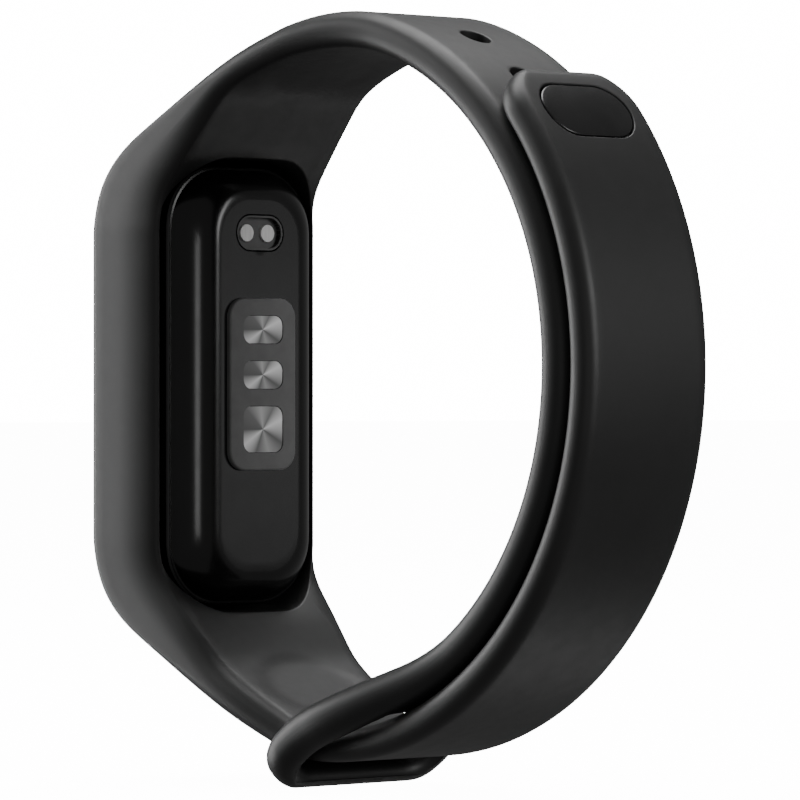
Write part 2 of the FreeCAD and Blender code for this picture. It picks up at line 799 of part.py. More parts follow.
def make_tail():
    thickness = number("outer_strap_thickness")
    radius = number(OUTER_MID_RADIUS)
    gap_angle = math.degrees(number("tail_split") / 2 / radius)
    first = split_angle() + gap_angle
    tip = number("stud_hole_angle") + math.degrees(number("tip_length") / radius)
    corner = number("tip_corner")
    corner_start = tip - math.degrees(corner / radius)
    angles = [mix(first, corner_start, step / 4) for step in range(5)]
    angles += [tip - math.degrees(gap / radius) for gap in (2.4, 1.1, 0.35, 0.0)]
    stations = []
    for angle in angles:
        left = math.radians(tip - angle) * radius
        half, thin = rounded_end(left, corner, number("strap_width") / 2, thickness)
        direction = heading(stud_side_point, angle) * -1
        stations.append(station(stud_side_point(angle), direction, half, thin))
    body = lofted_strap("strap_tail", stations)
    stud = number("stud_hole_angle")
    recess = placed_sketch(body, radial_placement(number(OUTER_SURFACE_RADIUS), stud))
    pill(recess, "cap_length + 2 * cap_clearance", "cap_width + 2 * cap_clearance")
    pocket(body, recess, "cap_thickness")
    flange = placed_sketch(body, radial_placement(number(OUTER_SURFACE_RADIUS), stud))
    circle(flange, "post_flange_radius + cap_clearance")
    pocket(body, flange, "cap_thickness + post_flange_thickness")
    bore = placed_sketch(body, radial_placement(number(OUTER_SURFACE_RADIUS), stud))
    circle(bore, "post_radius + post_bore_clearance")
    pocket(body, bore, "2 * outer_strap_thickness")
    return body


def make_stud():
    stud = number("stud_hole_angle")
    cap = new_body("stud_cap")
    outline = new_sketch(cap, "XY_Plane")
    pill(outline, "cap_length", "cap_width")
    pad(cap, outline, "cap_thickness")
    under_cap = number(OUTER_SURFACE_RADIUS) - number("cap_thickness")
    cap.Placement = radial_placement(under_cap, stud)
    post = new_body("stud_post")
    stem = new_sketch(post, "XY_Plane")
    circle(stem, "post_radius")
    reach = "(strap_thickness + strap_gap + outer_strap_thickness - cap_thickness - post_inset)"
    pad(post, stem, reach)
    head = new_sketch(post, "XY_Plane", reach + " - post_flange_thickness")
    circle(head, "post_flange_radius")
    pad(post, head, "post_flange_thickness")
    post.Placement = radial_placement(under_cap - number(reach), stud)


# ---------------------------------------------------------------------------
# The capsule
# ---------------------------------------------------------------------------

def make_housing():
    body = new_body("capsule_housing")
    outline = new_sketch(body, "YZ_Plane", CAPSULE_FRONT_X)
    rounded_rectangle(outline, "capsule_width", "capsule_height", "capsule_corner")
    solid = pad(body, outline, "capsule_depth")
    round_edges(body, solid, "back_edge", flat_at("X", number(CAPSULE_BACK_X)))
    trim_front(body, "lip_thickness + lip_clearance", "capsule_height / 2")
    cavity = new_sketch(body, "YZ_Plane", BACK_WALL_X)
    rounded_rectangle(cavity, CAVITY_WIDTH, CAVITY_HEIGHT, CAVITY_CORNER)
    pocket(body, cavity, through=True)
    opening = new_sketch(body, "YZ_Plane", CAPSULE_BACK_X)
    rounded_rectangle(
        opening, "island_width - 2 * island_ledge", "island_height - 2 * island_ledge",
        "island_corner - island_ledge", "0", "island_z",
    )
    pocket(body, opening, "2 * housing_wall")
    port = new_sketch(body, "YZ_Plane", CAPSULE_BACK_X)
    pill(port, "port_width + 2 * port_wall", "port_height + 2 * port_wall", "0", PORT_Z)
    pocket(body, port, "2 * housing_wall")
    return body


def make_display():
    gap = " - 2 * glass_gap)"
    glass_outline = (
        LIP_OPENING_WIDTH[:-1] + gap, LIP_OPENING_HEIGHT[:-1] + gap,
        LIP_OPENING_CORNER[:-1] + " - glass_gap)",
    )
    opening = (
        "(display_width + 2 * display_clearance)", "(display_height + 2 * display_clearance)",
        "(display_corner + display_clearance)",
    )
    front_layer("cover_glass", "0", "lip_thickness", glass_outline)
    front_layer("glass_adhesive", "lip_thickness", "adhesive_thickness", glass_outline, opening)
    cavity = (CAVITY_WIDTH, CAVITY_HEIGHT, CAVITY_CORNER)
    front_layer("mid_frame", "lip_thickness + adhesive_thickness", "frame_thickness", cavity, opening)
    panel = ("display_width", "display_height", "display_corner")
    rounded_plate("touch_film", *panel, "film_thickness", GLASS_BACK_X)
    rounded_plate("display_panel", *panel, "display_thickness", DISPLAY_FRONT_X)
    block(
        "display_flex", BOARD_FRONT_X + " - " + DISPLAY_BACK_X, "display_flex_width", "film_thickness",
        DISPLAY_BACK_X, "0", "display_flex_inset - display_height / 2",
    )


def make_power():
    block("battery", "battery_thickness", "battery_width", BATTERY_HEIGHT, BATTERY_FRONT_X, "0", BATTERY_Z)
    block(
        "battery_foam", "foam_thickness", "battery_width - foam_margin",
        BATTERY_HEIGHT + " - 2 * foam_margin", BATTERY_BACK_X, "0", BATTERY_Z,
    )
    block(
        "battery_board", "battery_board_depth", "battery_width - foam_margin", "battery_board_thickness",
        BATTERY_FRONT_X + " + battery_board_step", "0", BATTERY_TOP_Z + " + battery_board_thickness / 2",
    )


def make_motor():
    """A cylinder motor across the capsule, with a half round weight on its shaft."""
    centre_x = "(" + BATTERY_FRONT_X + " + battery_thickness / 2)"
    can = new_body("motor_can")
    round_can = new_sketch(can, "XZ_Plane", "motor_y - motor_length / 2")
    circle(round_can, "motor_radius", centre_x, MOTOR_Z)
    pad(can, round_can, "motor_length")
    bore = new_sketch(can, "XZ_Plane", "motor_y - motor_length / 2")
    circle(bore, "shaft_radius + shaft_clearance", centre_x, MOTOR_Z)
    pocket(can, bore, "motor_length / 2", backwards=True)

    shaft = new_body("motor_shaft")
    rod = new_sketch(shaft, "XZ_Plane", "motor_y - motor_length / 2 - weight_length - weight_gap")
    circle(rod, "shaft_radius", centre_x, MOTOR_Z)
    pad(shaft, rod, "weight_length + weight_gap + motor_length / 2 - shaft_end")

    weight = new_body("motor_weight")
    disc = new_sketch(weight, "XZ_Plane", "motor_y - motor_length / 2 - weight_length - weight_gap")
    circle(disc, "weight_radius", centre_x, MOTOR_Z)
    pad(weight, disc, "weight_length")
    half = new_sketch(weight, "XZ_Plane", "motor_y - motor_length / 2 - weight_length - weight_gap")
    middle_x = number(centre_x)
    middle_z = number(MOTOR_Z)
    reach = 2 * number("weight_radius")
    low_z = middle_z + number("shaft_radius + weight_hub")
    closed_outline(half, [
        (middle_x - reach, low_z), (middle_x + reach, low_z),
        (middle_x + reach, middle_z + reach), (middle_x - reach, middle_z + reach),
    ])
    pocket(weight, half, "weight_length", backwards=True)
    hub = new_sketch(weight, "XZ_Plane", "motor_y - motor_length / 2 - weight_length - weight_gap")
    circle(hub, "shaft_radius", centre_x, MOTOR_Z)
    pocket(weight, hub, "weight_length", backwards=True)

    block(
        "motor_pad", "motor_pad_thickness", "motor_length - 2 * motor_pad_margin", "motor_pad_width",
        centre_x + " + motor_radius", "motor_length / 2 - motor_y", MOTOR_Z,
    )


def make_boards():
    rounded_plate(
        "main_board", CAVITY_WIDTH + " - 2 * board_margin", CAVITY_HEIGHT + " - 2 * board_margin",
        CAVITY_CORNER + " - board_margin", "board_thickness", BOARD_FRONT_X,
    )
    # label, width along Y, height along Z, middle Y, middle Z
    chips = (
        ("radio_chip", "4", "4", "-3", "7.2 - capsule_height / 2"),
        ("memory_chip", "3", "2.4", "3.2", "7.8 - capsule_height / 2"),
        ("power_chip", "2.4", "2.4", "4.4", "capsule_height / 2 - 10.8"),
        ("motion_sensor", "2", "2", "-4.4", "capsule_height / 2 - 10.8"),
        ("clock_crystal", "2", "1.2", "3.2", "5.2 - capsule_height / 2"),
        ("board_connector", "1.6", "5", "-5.8", "0"),
    )
    for label, size_y, size_z, mid_y, mid_z in chips:
        block(label, "chip_height", size_y, size_z, BOARD_BACK_X, mid_y, mid_z)
    block(
        "antenna", "antenna_depth", "antenna_width", "antenna_thickness", BATTERY_FRONT_X + " + antenna_step",
        "0", "capsule_height / 2 - housing_wall - antenna_step",
    )
    rounded_plate(
        "sensor_board", "island_width", "island_height", "island_corner", "sensor_board_thickness",
        SENSOR_BOARD_X, "0", "island_z",
    )
    block(
        "sensor_flex", SENSOR_BOARD_X + " - " + BOARD_BACK_X, "sensor_flex_width", "sensor_flex_thickness",
        BOARD_BACK_X, "0", "island_z - island_height / 2 + sensor_flex_inset",
    )


def make_island():
    body = new_body("sensor_island")
    plug = new_sketch(body, "YZ_Plane", BACK_WALL_X)
    inset = "(island_ledge + window_clearance)"
    rounded_rectangle(
        plug, "island_width - 2 * " + inset, "island_height - 2 * " + inset,
        "island_corner - " + inset, "0", "island_z",
    )
    pad(body, plug, "housing_wall")
    plate = new_sketch(body, "YZ_Plane", CAPSULE_BACK_X)
    rounded_rectangle(plate, "island_width", "island_height", "island_corner", "0", "island_z")
    solid = pad(body, plate, "island_rise")
    round_edges(body, solid, "island_edge", flat_at("X", number(ISLAND_FACE_X)))
    for label, centre in WINDOW_CENTRES.items():
        opening = new_sketch(body, "YZ_Plane", ISLAND_FACE_X)
        grown = " + 2 * window_clearance"
        rounded_rectangle(
            opening, "window_width" + grown, WINDOW_HEIGHTS[label] + grown,
            "window_corner + window_clearance", "0", centre,
        )
        pocket(body, opening, "housing_wall + island_rise")
        rounded_plate(
            label, "window_width", WINDOW_HEIGHTS[label], "window_corner",
            "housing_wall + island_rise - window_sink", BACK_WALL_X, "0", centre,
        )

    barrier = new_body("light_barrier")
    ring = new_sketch(barrier, "YZ_Plane", BARRIER_FRONT_X)
    rounded_rectangle(
        ring, "island_width - 2 * barrier_margin", "island_height - 2 * barrier_margin",
        "island_corner - barrier_margin", "0", "island_z",
    )
    for index, (label, centre) in enumerate(WINDOW_CENTRES.items()):
        rounded_rectangle(
            ring, "window_width - 2 * barrier_side_wall", WINDOW_HEIGHTS[label] + " - 2 * barrier_end_wall",
            "window_corner - barrier_end_wall", "0", centre, tag="w%d" % index,
        )
    pad(barrier, ring, "barrier_thickness")
    sources = (
        ("green_led_upper", "window_upper", "led_width", "led_height"),
        ("green_led_middle", "window_middle", "led_width", "led_height"),
        ("photodiode", "window_lower", "photodiode_width", "photodiode_height"),
    )
    for label, window, size_y, size_z in sources:
        block(label, "led_thickness", size_y, size_z, BARRIER_FRONT_X, "0", WINDOW_CENTRES[window])


def make_port():
    insert = new_body("charge_insert")
    cup = new_sketch(insert, "YZ_Plane", PORT_FLOOR_X + " - port_floor")
    pill(
        cup, "port_width + 2 * port_wall - 2 * window_clearance",
        "port_height + 2 * port_wall - 2 * window_clearance", "0", PORT_Z,
    )
    pad(insert, cup, "port_floor + port_recess")
    flange = new_sketch(insert, "YZ_Plane", BACK_WALL_X + " - seal_thickness - port_flange")
    pill(
        flange, "port_width + 2 * port_wall + 2 * port_flange",
        "port_height + 2 * port_wall + 2 * port_flange", "0", PORT_Z,
    )
    pad(insert, flange, "port_flange")
    recess = new_sketch(insert, "YZ_Plane", CAPSULE_BACK_X)
    pill(recess, "port_width", "port_height", "0", PORT_Z)
    pocket(insert, recess, "port_recess")
    for index, sign in enumerate(("-", "")):
        hole = new_sketch(insert, "YZ_Plane", PORT_FLOOR_X)
        circle(hole, "pin_radius + pin_clearance", sign + "contact_spacing / 2", PORT_Z)
        pocket(insert, hole, through=True)

    seal = new_body("port_seal")
    ring = new_sketch(seal, "YZ_Plane", BACK_WALL_X + " - seal_thickness")
    pill(
        ring, "port_width + 2 * port_wall + 2 * port_flange - seal_inset",
        "port_height + 2 * port_wall + 2 * port_flange - seal_inset", "0", PORT_Z, tag="a",
    )
    pill(
        ring, "port_width + 2 * port_wall + 2 * seal_inset", "port_height + 2 * port_wall + 2 * seal_inset",
        "0", PORT_Z, tag="b",
    )
    pad(seal, ring, "seal_thickness")

    for label, sign in (("contact_left", "-"), ("contact_right", "")):
        body = new_body(label)
        stem = new_sketch(body, "YZ_Plane", BOARD_BACK_X)
        circle(stem, "pin_radius", sign + "contact_spacing / 2", PORT_Z)
        pad(body, stem, PORT_FLOOR_X + " - " + BOARD_BACK_X)
        head = new_sketch(body, "YZ_Plane", PORT_FLOOR_X)
        circle(head, "contact_radius", sign + "contact_spacing / 2", PORT_Z)
        pad(body, head, "port_recess - contact_sink")


make_cradle()
make_hole_side()
make_stud_side()
make_tail()
make_stud()
make_housing()
make_display()
make_power()
make_motor()
make_boards()
make_island()
make_port()
doc.recompute()

# ---------------------------------------------------------------------------
# Test every object, then write one file for each piece
# ---------------------------------------------------------------------------

for item in doc.Objects:
    if "Invalid" in item.State or "Error" in item.State:
        raise RuntimeError("%s (%s) failed: %s" % (item.Name, item.Label, item.State))
for item in nodes:
    if item.Shape.isNull() or not item.Shape.isValid() or item.Shape.Volume <= 0:
        raise RuntimeError("%s has no valid shape" % item.Label)

os.makedirs("parts", exist_ok=True)
for item in nodes:
    item.Shape.exportStep("parts/%s.step" % item.Label)
    box = item.Shape.BoundBox
    print(
        "%-18s solids %d volume %9.3f  x %7.2f %7.2f  y %6.2f %6.2f  z %7.2f %7.2f" % (
            item.Label, len(item.Shape.Solids), item.Shape.Volume,
            box.XMin, box.XMax, box.YMin, box.YMax, box.ZMin, box.ZMax,
        )
    )
print(len(nodes), "pieces")
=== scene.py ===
"""Looks of the fitness tracker band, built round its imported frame. Sizes are in millimetres until placed."""

import math

import bmesh
import bpy
import numpy as np
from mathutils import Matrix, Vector


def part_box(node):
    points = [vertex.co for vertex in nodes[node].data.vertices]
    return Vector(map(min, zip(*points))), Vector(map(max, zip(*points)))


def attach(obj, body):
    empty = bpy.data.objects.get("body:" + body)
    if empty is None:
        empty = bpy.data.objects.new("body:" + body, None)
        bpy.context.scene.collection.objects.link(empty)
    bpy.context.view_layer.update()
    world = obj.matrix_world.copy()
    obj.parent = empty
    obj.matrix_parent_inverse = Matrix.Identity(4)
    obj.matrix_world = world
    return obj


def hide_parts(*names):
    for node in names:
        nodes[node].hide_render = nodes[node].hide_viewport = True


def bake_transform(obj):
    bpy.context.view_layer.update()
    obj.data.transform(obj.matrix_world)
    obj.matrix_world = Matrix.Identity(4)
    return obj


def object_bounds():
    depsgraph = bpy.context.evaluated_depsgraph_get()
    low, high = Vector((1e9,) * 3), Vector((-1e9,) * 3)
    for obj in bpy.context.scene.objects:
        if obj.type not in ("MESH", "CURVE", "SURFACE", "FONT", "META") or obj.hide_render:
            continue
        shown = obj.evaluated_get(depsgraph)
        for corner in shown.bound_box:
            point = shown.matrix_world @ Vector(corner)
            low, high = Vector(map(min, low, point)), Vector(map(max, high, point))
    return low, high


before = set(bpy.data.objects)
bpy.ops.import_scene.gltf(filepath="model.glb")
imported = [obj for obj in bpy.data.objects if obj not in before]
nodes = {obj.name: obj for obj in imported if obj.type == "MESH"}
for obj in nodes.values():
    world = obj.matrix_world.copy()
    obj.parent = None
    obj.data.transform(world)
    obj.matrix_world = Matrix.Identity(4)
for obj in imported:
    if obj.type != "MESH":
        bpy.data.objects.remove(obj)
cad_low, cad_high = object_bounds()

MM = 0.001

# A rounded end's corner stays this far under half its width.
CORNER_EASE = 0.001

# The ring that the strap makes, seen from its side
RING_X, RING_Z = -3.3, 1.6
WRIST_RADIUS = 28.1
INNER_THICK = 3.3
OUTER_THICK = 2.9
SHOULDER_THICK = 2.4
LOWER_THICK = 3.6
STRAP_GAP = 0.3
STRAP_HALF = 7.3
SHOULDER_HALF = 8.8
CRADLE_HALF = 10.1
LOOP_HALF = 10.2
LOOP_THICK = 3.8
INNER_MID = WRIST_RADIUS + INNER_THICK / 2
OUTER_MID = WRIST_RADIUS + INNER_THICK + STRAP_GAP + OUTER_THICK / 2
OUTER_SKIN = OUTER_MID + OUTER_THICK / 2
UPPER_SHOULDER, UPPER_BLEND = 113.0, 75.0
LOWER_SHOULDER, LOWER_BLEND, LOWER_WAIST = -112.0, -90.0, -92.0
UPPER_DROP, LOWER_DROP = 1.5, 2.2
SEAM_ANGLE = -70.0

# The loop at the free end of the strap with the holes
LOOP_START = -68.0
LOOP_RUN, LOOP_HOOK, LOOP_TURN = 9.6, 8.8, 36.0
LOOP_LEAD = 7.0
LOOP_CORNER, LOOP_BAR = 4.5, 2.5
SLOT_HALF, SLOT_CORNER, SLOT_START_X = 7.8, 2.2, 5.2

# Holes and stud
HOLE_RADIUS, HOLE_PITCH, HOLE_COUNT = 1.35, 6.93, 8
STUD_ANGLE = 38.7
TIP_LENGTH, TIP_CORNER = 5.3, 4.8
CAP_HALF_LONG, CAP_HALF_WIDE, CAP_THICK = 4.9, 2.8, 0.8
CAP_GAP = 0.15
POST_RADIUS = 0.95

# The cradle and the capsule
FRONT_X, BACK_X = -31.2, -22.2
CORNER_X, CORNER_Z, CORNER_RADIUS = -23.7, 15.2, 7.5
CRADLE_STRAIGHT = 17.2
LIP = 1.0
WINDOW_HALF_Y, WINDOW_HALF_Z, WINDOW_CORNER = 7.3, 18.7, 4.5
SEAT_HALF_Y, SEAT_HALF_Z, SEAT_CORNER = 9.1, 20.5, 6.3
CAPSULE_HALF_Y, CAPSULE_HALF_Z, CAPSULE_CORNER = 8.8, 20.2, 6.0
CAPSULE_BACK = -18.95
HOUSING_WALL = 1.0
LIP_CLEARANCE = 0.15
PORT_Z, PORT_HALF_Y, PORT_HALF_Z = 13.8, 2.55, 1.4
GLASS_HALF_Y, GLASS_HALF_Z, GLASS_CORNER = 7.15, 18.55, 4.35


# ---------------------------------------------------------------------------
# Small shapes and formulas
# ---------------------------------------------------------------------------

def smooth(value):
    value = min(max(value, 0.0), 1.0)
    return value * value * (3 - 2 * value)


def mix(start, end, share):
    return start + (end - start) * share


def ring_point(radius, angle):
    turn = math.radians(angle)
    return np.array([RING_X + radius * math.cos(turn), RING_Z + radius * math.sin(turn)])


def upper_share(angle):
    return smooth((angle - UPPER_BLEND) / (UPPER_SHOULDER - UPPER_BLEND))


def lower_share(angle):
    return smooth((LOWER_BLEND - angle) / (LOWER_BLEND - LOWER_SHOULDER))


def hole_route(angle):
    return ring_point(INNER_MID - UPPER_DROP * upper_share(angle), angle)


def stud_route(angle):
    return ring_point(OUTER_MID - LOWER_DROP * lower_share(angle), angle)


def square_to(route, angle, step=0.05):
    """Unit direction out of the ring, square to a route."""
    along = route(angle + step) - route(angle - step)
    along /= np.linalg.norm(along)
    return np.array([along[1], -along[0]])


def rounded_end(left, corner, half, thick):
    """Half width and thickness of a strap at a distance from its round end."""
    inset = max(corner - left, 0.0)
    half_there = half - corner + math.sqrt(max(corner * corner - inset * inset, 0.0))
    edge = thick / 2
    sunk = max(edge - left, 0.0)
    return half_there, 2 * math.sqrt(max(edge * edge - sunk * sunk, 0.0))


def reach_to_rectangle(direction, half_a, half_b, corner):
    """Distance from the middle to a rounded rectangle's outline along a direction (a, b)."""
    low, high = 0.0, half_a + half_b
    for _ in range(40):
        middle = (low + high) / 2
        a = abs(direction[0]) * middle - (half_a - corner)
        b = abs(direction[1]) * middle - (half_b - corner)
        outside = math.hypot(max(a, 0.0), max(b, 0.0)) + min(max(a, b), 0.0) - corner
        if outside > 0:
            high = middle
        else:
            low = middle
    return (low + high) / 2


def rectangle_ring(targets, centre, half_a, half_b, corner):
    """Points of a rounded rectangle, each in the direction of its target from the centre."""
    ring = []
    for a, b in targets:
        direction = np.array([a - centre[0], b - centre[1]])
        direction /= max(np.linalg.norm(direction), 1e-9)
        reach = reach_to_rectangle(direction, half_a, half_b, corner)
        ring.append((centre[0] + direction[0] * reach, centre[1] + direction[1] * reach))
    return np.array(ring)


# ---------------------------------------------------------------------------
# Meshes
# ---------------------------------------------------------------------------

def new_piece(name, points, faces, material, smooth_shading=True):
    """A mesh object at the origin, from points in millimetres."""
    mesh = bpy.data.meshes.new(name)
    mesh.from_pydata([tuple(float(c) * MM for c in p) for p in points], [], faces)
    mesh.validate()
    made = bmesh.new()
    made.from_mesh(mesh)
    bmesh.ops.remove_doubles(made, verts=made.verts, dist=1e-7)
    bmesh.ops.recalc_face_normals(made, faces=made.faces)
    made.to_mesh(mesh)
    made.free()
    for polygon in mesh.polygons:
        polygon.use_smooth = smooth_shading
    mesh.set_sharp_from_angle(angle=math.radians(50))
    mesh.materials.append(material)
    piece = bpy.data.objects.new(name, mesh)
    bpy.context.scene.collection.objects.link(piece)
    return piece


class Skin:
    """The closed skin of a strap-like piece, as sections along its route."""

    FLAT, ARC, SIDE = 24, 7, 3

    def __init__(self):
        self.rows = []
        self.points = []
        self.faces = []
        self.skipped = set()

    def add(self, outer, inner, half, outer_round, inner_round):
        self.rows.append([*outer, *inner, half, *outer_round, *inner_round])

    def settle(self):
        self.table = np.array(self.rows)
        middle = (self.table[:, 0:2] + self.table[:, 2:4]) / 2
        steps = np.linalg.norm(np.diff(middle, axis=0), axis=1)
        self.along = np.concatenate([[0.0], np.cumsum(steps)])
        self.loop = 2 * (self.FLAT + self.SIDE) + 4 * self.ARC
        for row in self.table:
            self.points += self.section(row)

    def at(self, distance):
        return np.array([np.interp(distance, self.along, column) for column in self.table.T])

    def place(self, row, across, height):
        """A point in a section: across from the middle line, height from -1 (inner) to 1 (outer)."""
        outer, inner = row[0:2], row[2:4]
        spot = (outer + inner) / 2 + (outer - inner) / 2 * height
        return (spot[0], across, spot[1])

    def section(self, row):
        thick = max(np.linalg.norm(row[0:2] - row[2:4]), 1e-6)
        half, oa, ob, ia, ib = row[4:9]
        limit = thick / 2
        ob, ib = min(ob, limit), min(ib, limit)
        made = []
        for step in range(self.FLAT):
            made.append((mix(half - oa, oa - half, step / self.FLAT), limit))
        for step in range(self.ARC):
            turn = math.pi / 2 * step / self.ARC
            made.append((-(half - oa) - oa * math.sin(turn), limit - ob * (1 - math.cos(turn))))
        for step in range(self.SIDE):
            made.append((-half, mix(limit - ob, ib - limit, step / self.SIDE)))
        for step in range(self.ARC):
            turn = math.pi / 2 * step / self.ARC
            made.append((-half + ia * (1 - math.cos(turn)), -limit + ib * (1 - math.sin(turn))))
        for step in range(self.FLAT):
            made.append((mix(ia - half, half - ia, step / self.FLAT), -limit))
        for step in range(self.ARC):
            turn = math.pi / 2 * step / self.ARC
            made.append((half - ia + ia * math.sin(turn), -limit + ib * (1 - math.cos(turn))))
        for step in range(self.SIDE):
            made.append((half, mix(ib - limit, limit - ob, step / self.SIDE)))
        for step in range(self.ARC):
            turn = math.pi / 2 * step / self.ARC
            made.append((half - oa * (1 - math.cos(turn)), limit - ob * (1 - math.sin(turn))))
        return [self.place(row, across, height / limit) for across, height in made]

    def outer_index(self, row, column):
        return row * self.loop + column

    def inner_index(self, row, column):
        start = self.FLAT + self.SIDE + 2 * self.ARC
        return row * self.loop + start + self.FLAT - column

    def patch_edge(self, first_row, last_row, first_column, last_column):
        """The rows and columns round a patch of the grid, in order."""
        edge = [(first_row, c) for c in range(first_column, last_column)]
        edge += [(r, last_column) for r in range(first_row, last_row)]
        edge += [(last_row, c) for c in range(last_column, first_column, -1)]
        edge += [(r, first_column) for r in range(last_row, first_row, -1)]
        return edge

    def open_patch(self, first_row, last_row, first_column, last_column, through=True):
        """Leaves the patch's faces out, outside and inside, and returns its edge."""
        start = self.FLAT + self.SIDE + 2 * self.ARC
        for row in range(first_row, last_row):
            for column in range(first_column, last_column):
                self.skipped.add((row, column))
                if through:
                    self.skipped.add((row, start + self.FLAT - 1 - column))
        return self.patch_edge(first_row, last_row, first_column, last_column)

    def spots(self, edge):
        """Distance along and across for each point of a patch's edge, on the outside and inside."""
        outer, inner = [], []
        for row, column in edge:
            place = self.table[row]
            share = column / self.FLAT
            outer.append((self.along[row], mix(place[4] - place[5], place[5] - place[4], share)))
            inner.append((self.along[row], mix(place[4] - place[7], place[7] - place[4], share)))
        return np.array(outer), np.array(inner)

    def line_up(self, edge, rings, inner=True):
        """Joins a patch's outer edge, rings of points and its inner edge with faces."""
        bands = [[self.outer_index(r, c) for r, c in edge]]
        for ring in rings:
            start = len(self.points)
            self.points += [tuple(p) for p in ring]
            bands.append(list(range(start, start + len(ring))))
        if inner:
            bands.append([self.inner_index(r, c) for r, c in edge])
        else:
            self.faces.append(tuple(bands[-1]))
        count = len(edge)
        for near, far in zip(bands, bands[1:]):
            for k in range(count):
                n = (k + 1) % count
                self.faces.append((near[k], near[n], far[n], far[k]))

    def close(self, first=True, last=True):
        """Faces between the sections, and the two ends."""
        for row in range(len(self.table) - 1):
            for column in range(self.loop):
                if (row, column) in self.skipped:
                    continue
                n = (column + 1) % self.loop
                a, b = row * self.loop, (row + 1) * self.loop
                self.faces.append((a + column, a + n, b + n, b + column))
        for row in ([0] if first else []) + ([len(self.table) - 1] if last else []):
            self.close_end(row)

    def close_end(self, row):
        for column in range(self.FLAT):
            self.faces.append((
                self.outer_index(row, column), self.outer_index(row, column + 1),
                self.inner_index(row, column + 1), self.inner_index(row, column),
            ))
        self.close_side(row)

    def close_side(self, row):
        """Closes a section's two round sides at an end."""
        side = self.SIDE + 2 * self.ARC
        for start in (self.FLAT, 2 * self.FLAT + side):
            base = row * self.loop
            ring = [base + (start + k) % self.loop for k in range(side + 1)]
            self.faces.append(tuple(ring))

    def surface(self, spots, height):
        return [self.place(self.at(s), u, height) for s, u in spots]

    def depth_ring(self, spots, depth):
        """Points at a depth in millimetres below the outer surface."""
        made = []
        for s, u in spots:
            row = self.at(s)
            thick = np.linalg.norm(row[0:2] - row[2:4])
            made.append(self.place(row, u, 1 - 2 * depth / thick))
        return made

    def drill(self, edge, outline, rounding, steps=4, wall_steps=2):
        """A through opening; outline(targets, growth) gives its points, grown by an amount."""
        outer, inner = self.spots(edge)
        rings = []
        for side, targets in ((1, outer), (-1, inner)):
            made = []
            rim = outline(targets, rounding)
            for share in (0.35, 0.7, 1.0):
                made.append(self.surface(targets * (1 - share) + rim * share, side))
            for step in range(1, steps + 1):
                turn = math.pi / 2 * step / steps
                spots = outline(targets, rounding * (1 - math.sin(turn)))
                sunk = rounding * (1 - math.cos(turn))
                ring = []
                for s, u in spots:
                    row = self.at(s)
                    half = np.linalg.norm(row[0:2] - row[2:4]) / 2
                    ring.append(self.place(row, u, side * (1 - sunk / half)))
                made.append(ring)
            rings.append(made)
        walls = []
        for step in range(1, wall_steps):
            share = step / wall_steps
            top, low = np.array(rings[0][-1]), np.array(rings[1][-1])
            walls.append(top * (1 - share) + low * share)
        self.line_up(edge, rings[0] + walls + rings[1][::-1])


# ---------------------------------------------------------------------------
# The band: hole side, cradle and the root of the stud side in one moulding
# ---------------------------------------------------------------------------

def edge_round(thick, share=0.46):
    return thick * share, thick * share


def loop_flare(travelled):
    """0 on the plain strap, 1 where the loop has its full width."""
    return smooth((travelled + LOOP_LEAD) / (LOOP_RUN + LOOP_LEAD))


def loop_rows(skin):
    """From the loop's end back to the round part of the strap."""
    place = hole_route(LOOP_START)
    ahead = square_to(hole_route, LOOP_START)
    direction = np.array([ahead[1], -ahead[0]])
    if direction[1] > 0 and direction[0] > 0:
        direction = -direction
    total = LOOP_RUN + LOOP_HOOK
    fine = [0.0, 0.03, 0.1, 0.2, 0.34, 0.5, 0.7, 0.92, 1.14, 1.35]
    wanted = [total - gap for gap in fine]
    gap = 1.35
    while gap < total - 0.3:
        gap += 0.5
        wanted.append(max(total - gap, 0.0))
    wanted = sorted(set(round(w, 4) for w in wanted if w > 0.2))
    travelled, step, rows = 0.0, 0.01, []
    for target in wanted:
        while travelled < target - step / 2:
            turn = math.radians(LOOP_TURN) * step / LOOP_HOOK if travelled > LOOP_RUN else 0.0
            c, s = math.cos(turn), math.sin(turn)
            direction = np.array([direction[0] * c - direction[1] * s, direction[0] * s + direction[1] * c])
            place = place + direction * step
            travelled += step
        flare = loop_flare(travelled)
        half, thick = rounded_end(
            total - travelled, LOOP_CORNER,
            mix(STRAP_HALF, LOOP_HALF, flare), mix(INNER_THICK, LOOP_THICK, flare)
        )
        out = np.array([-direction[1], direction[0]])
        if out @ (place - np.array([RING_X, RING_Z])) < 0:
            out = -out
        rows.append((place, out, half, max(thick, 0.02)))
    for place, out, half, thick in reversed(rows):
        sides = edge_round(thick)
        skin.add(place + out * thick / 2, place - out * thick / 2, half, sides, sides)


def hole_strap_rows(skin):
    """The round part and the upper shoulder, one row for each twelfth of the holes' pitch."""
    pitch = math.degrees(HOLE_PITCH / INNER_MID)
    step = pitch / 12
    start = STUD_ANGLE - step * math.floor((STUD_ANGLE - LOOP_START) / step)
    angle = start
    while angle < UPPER_SHOULDER - 0.3:
        share = upper_share(angle)
        flare = loop_flare(math.radians(LOOP_START - angle) * INNER_MID)
        thick = mix(mix(INNER_THICK, SHOULDER_THICK, share), LOOP_THICK, flare)
        half = mix(mix(STRAP_HALF, SHOULDER_HALF, share), LOOP_HALF, flare)
        place, out = hole_route(angle), square_to(hole_route, angle)
        if out @ (place - np.array([RING_X, RING_Z])) < 0:
            out = -out
        sides = edge_round(thick)
        skin.add(place + out * thick / 2, place - out * thick / 2, half, sides, sides)
        angle += step


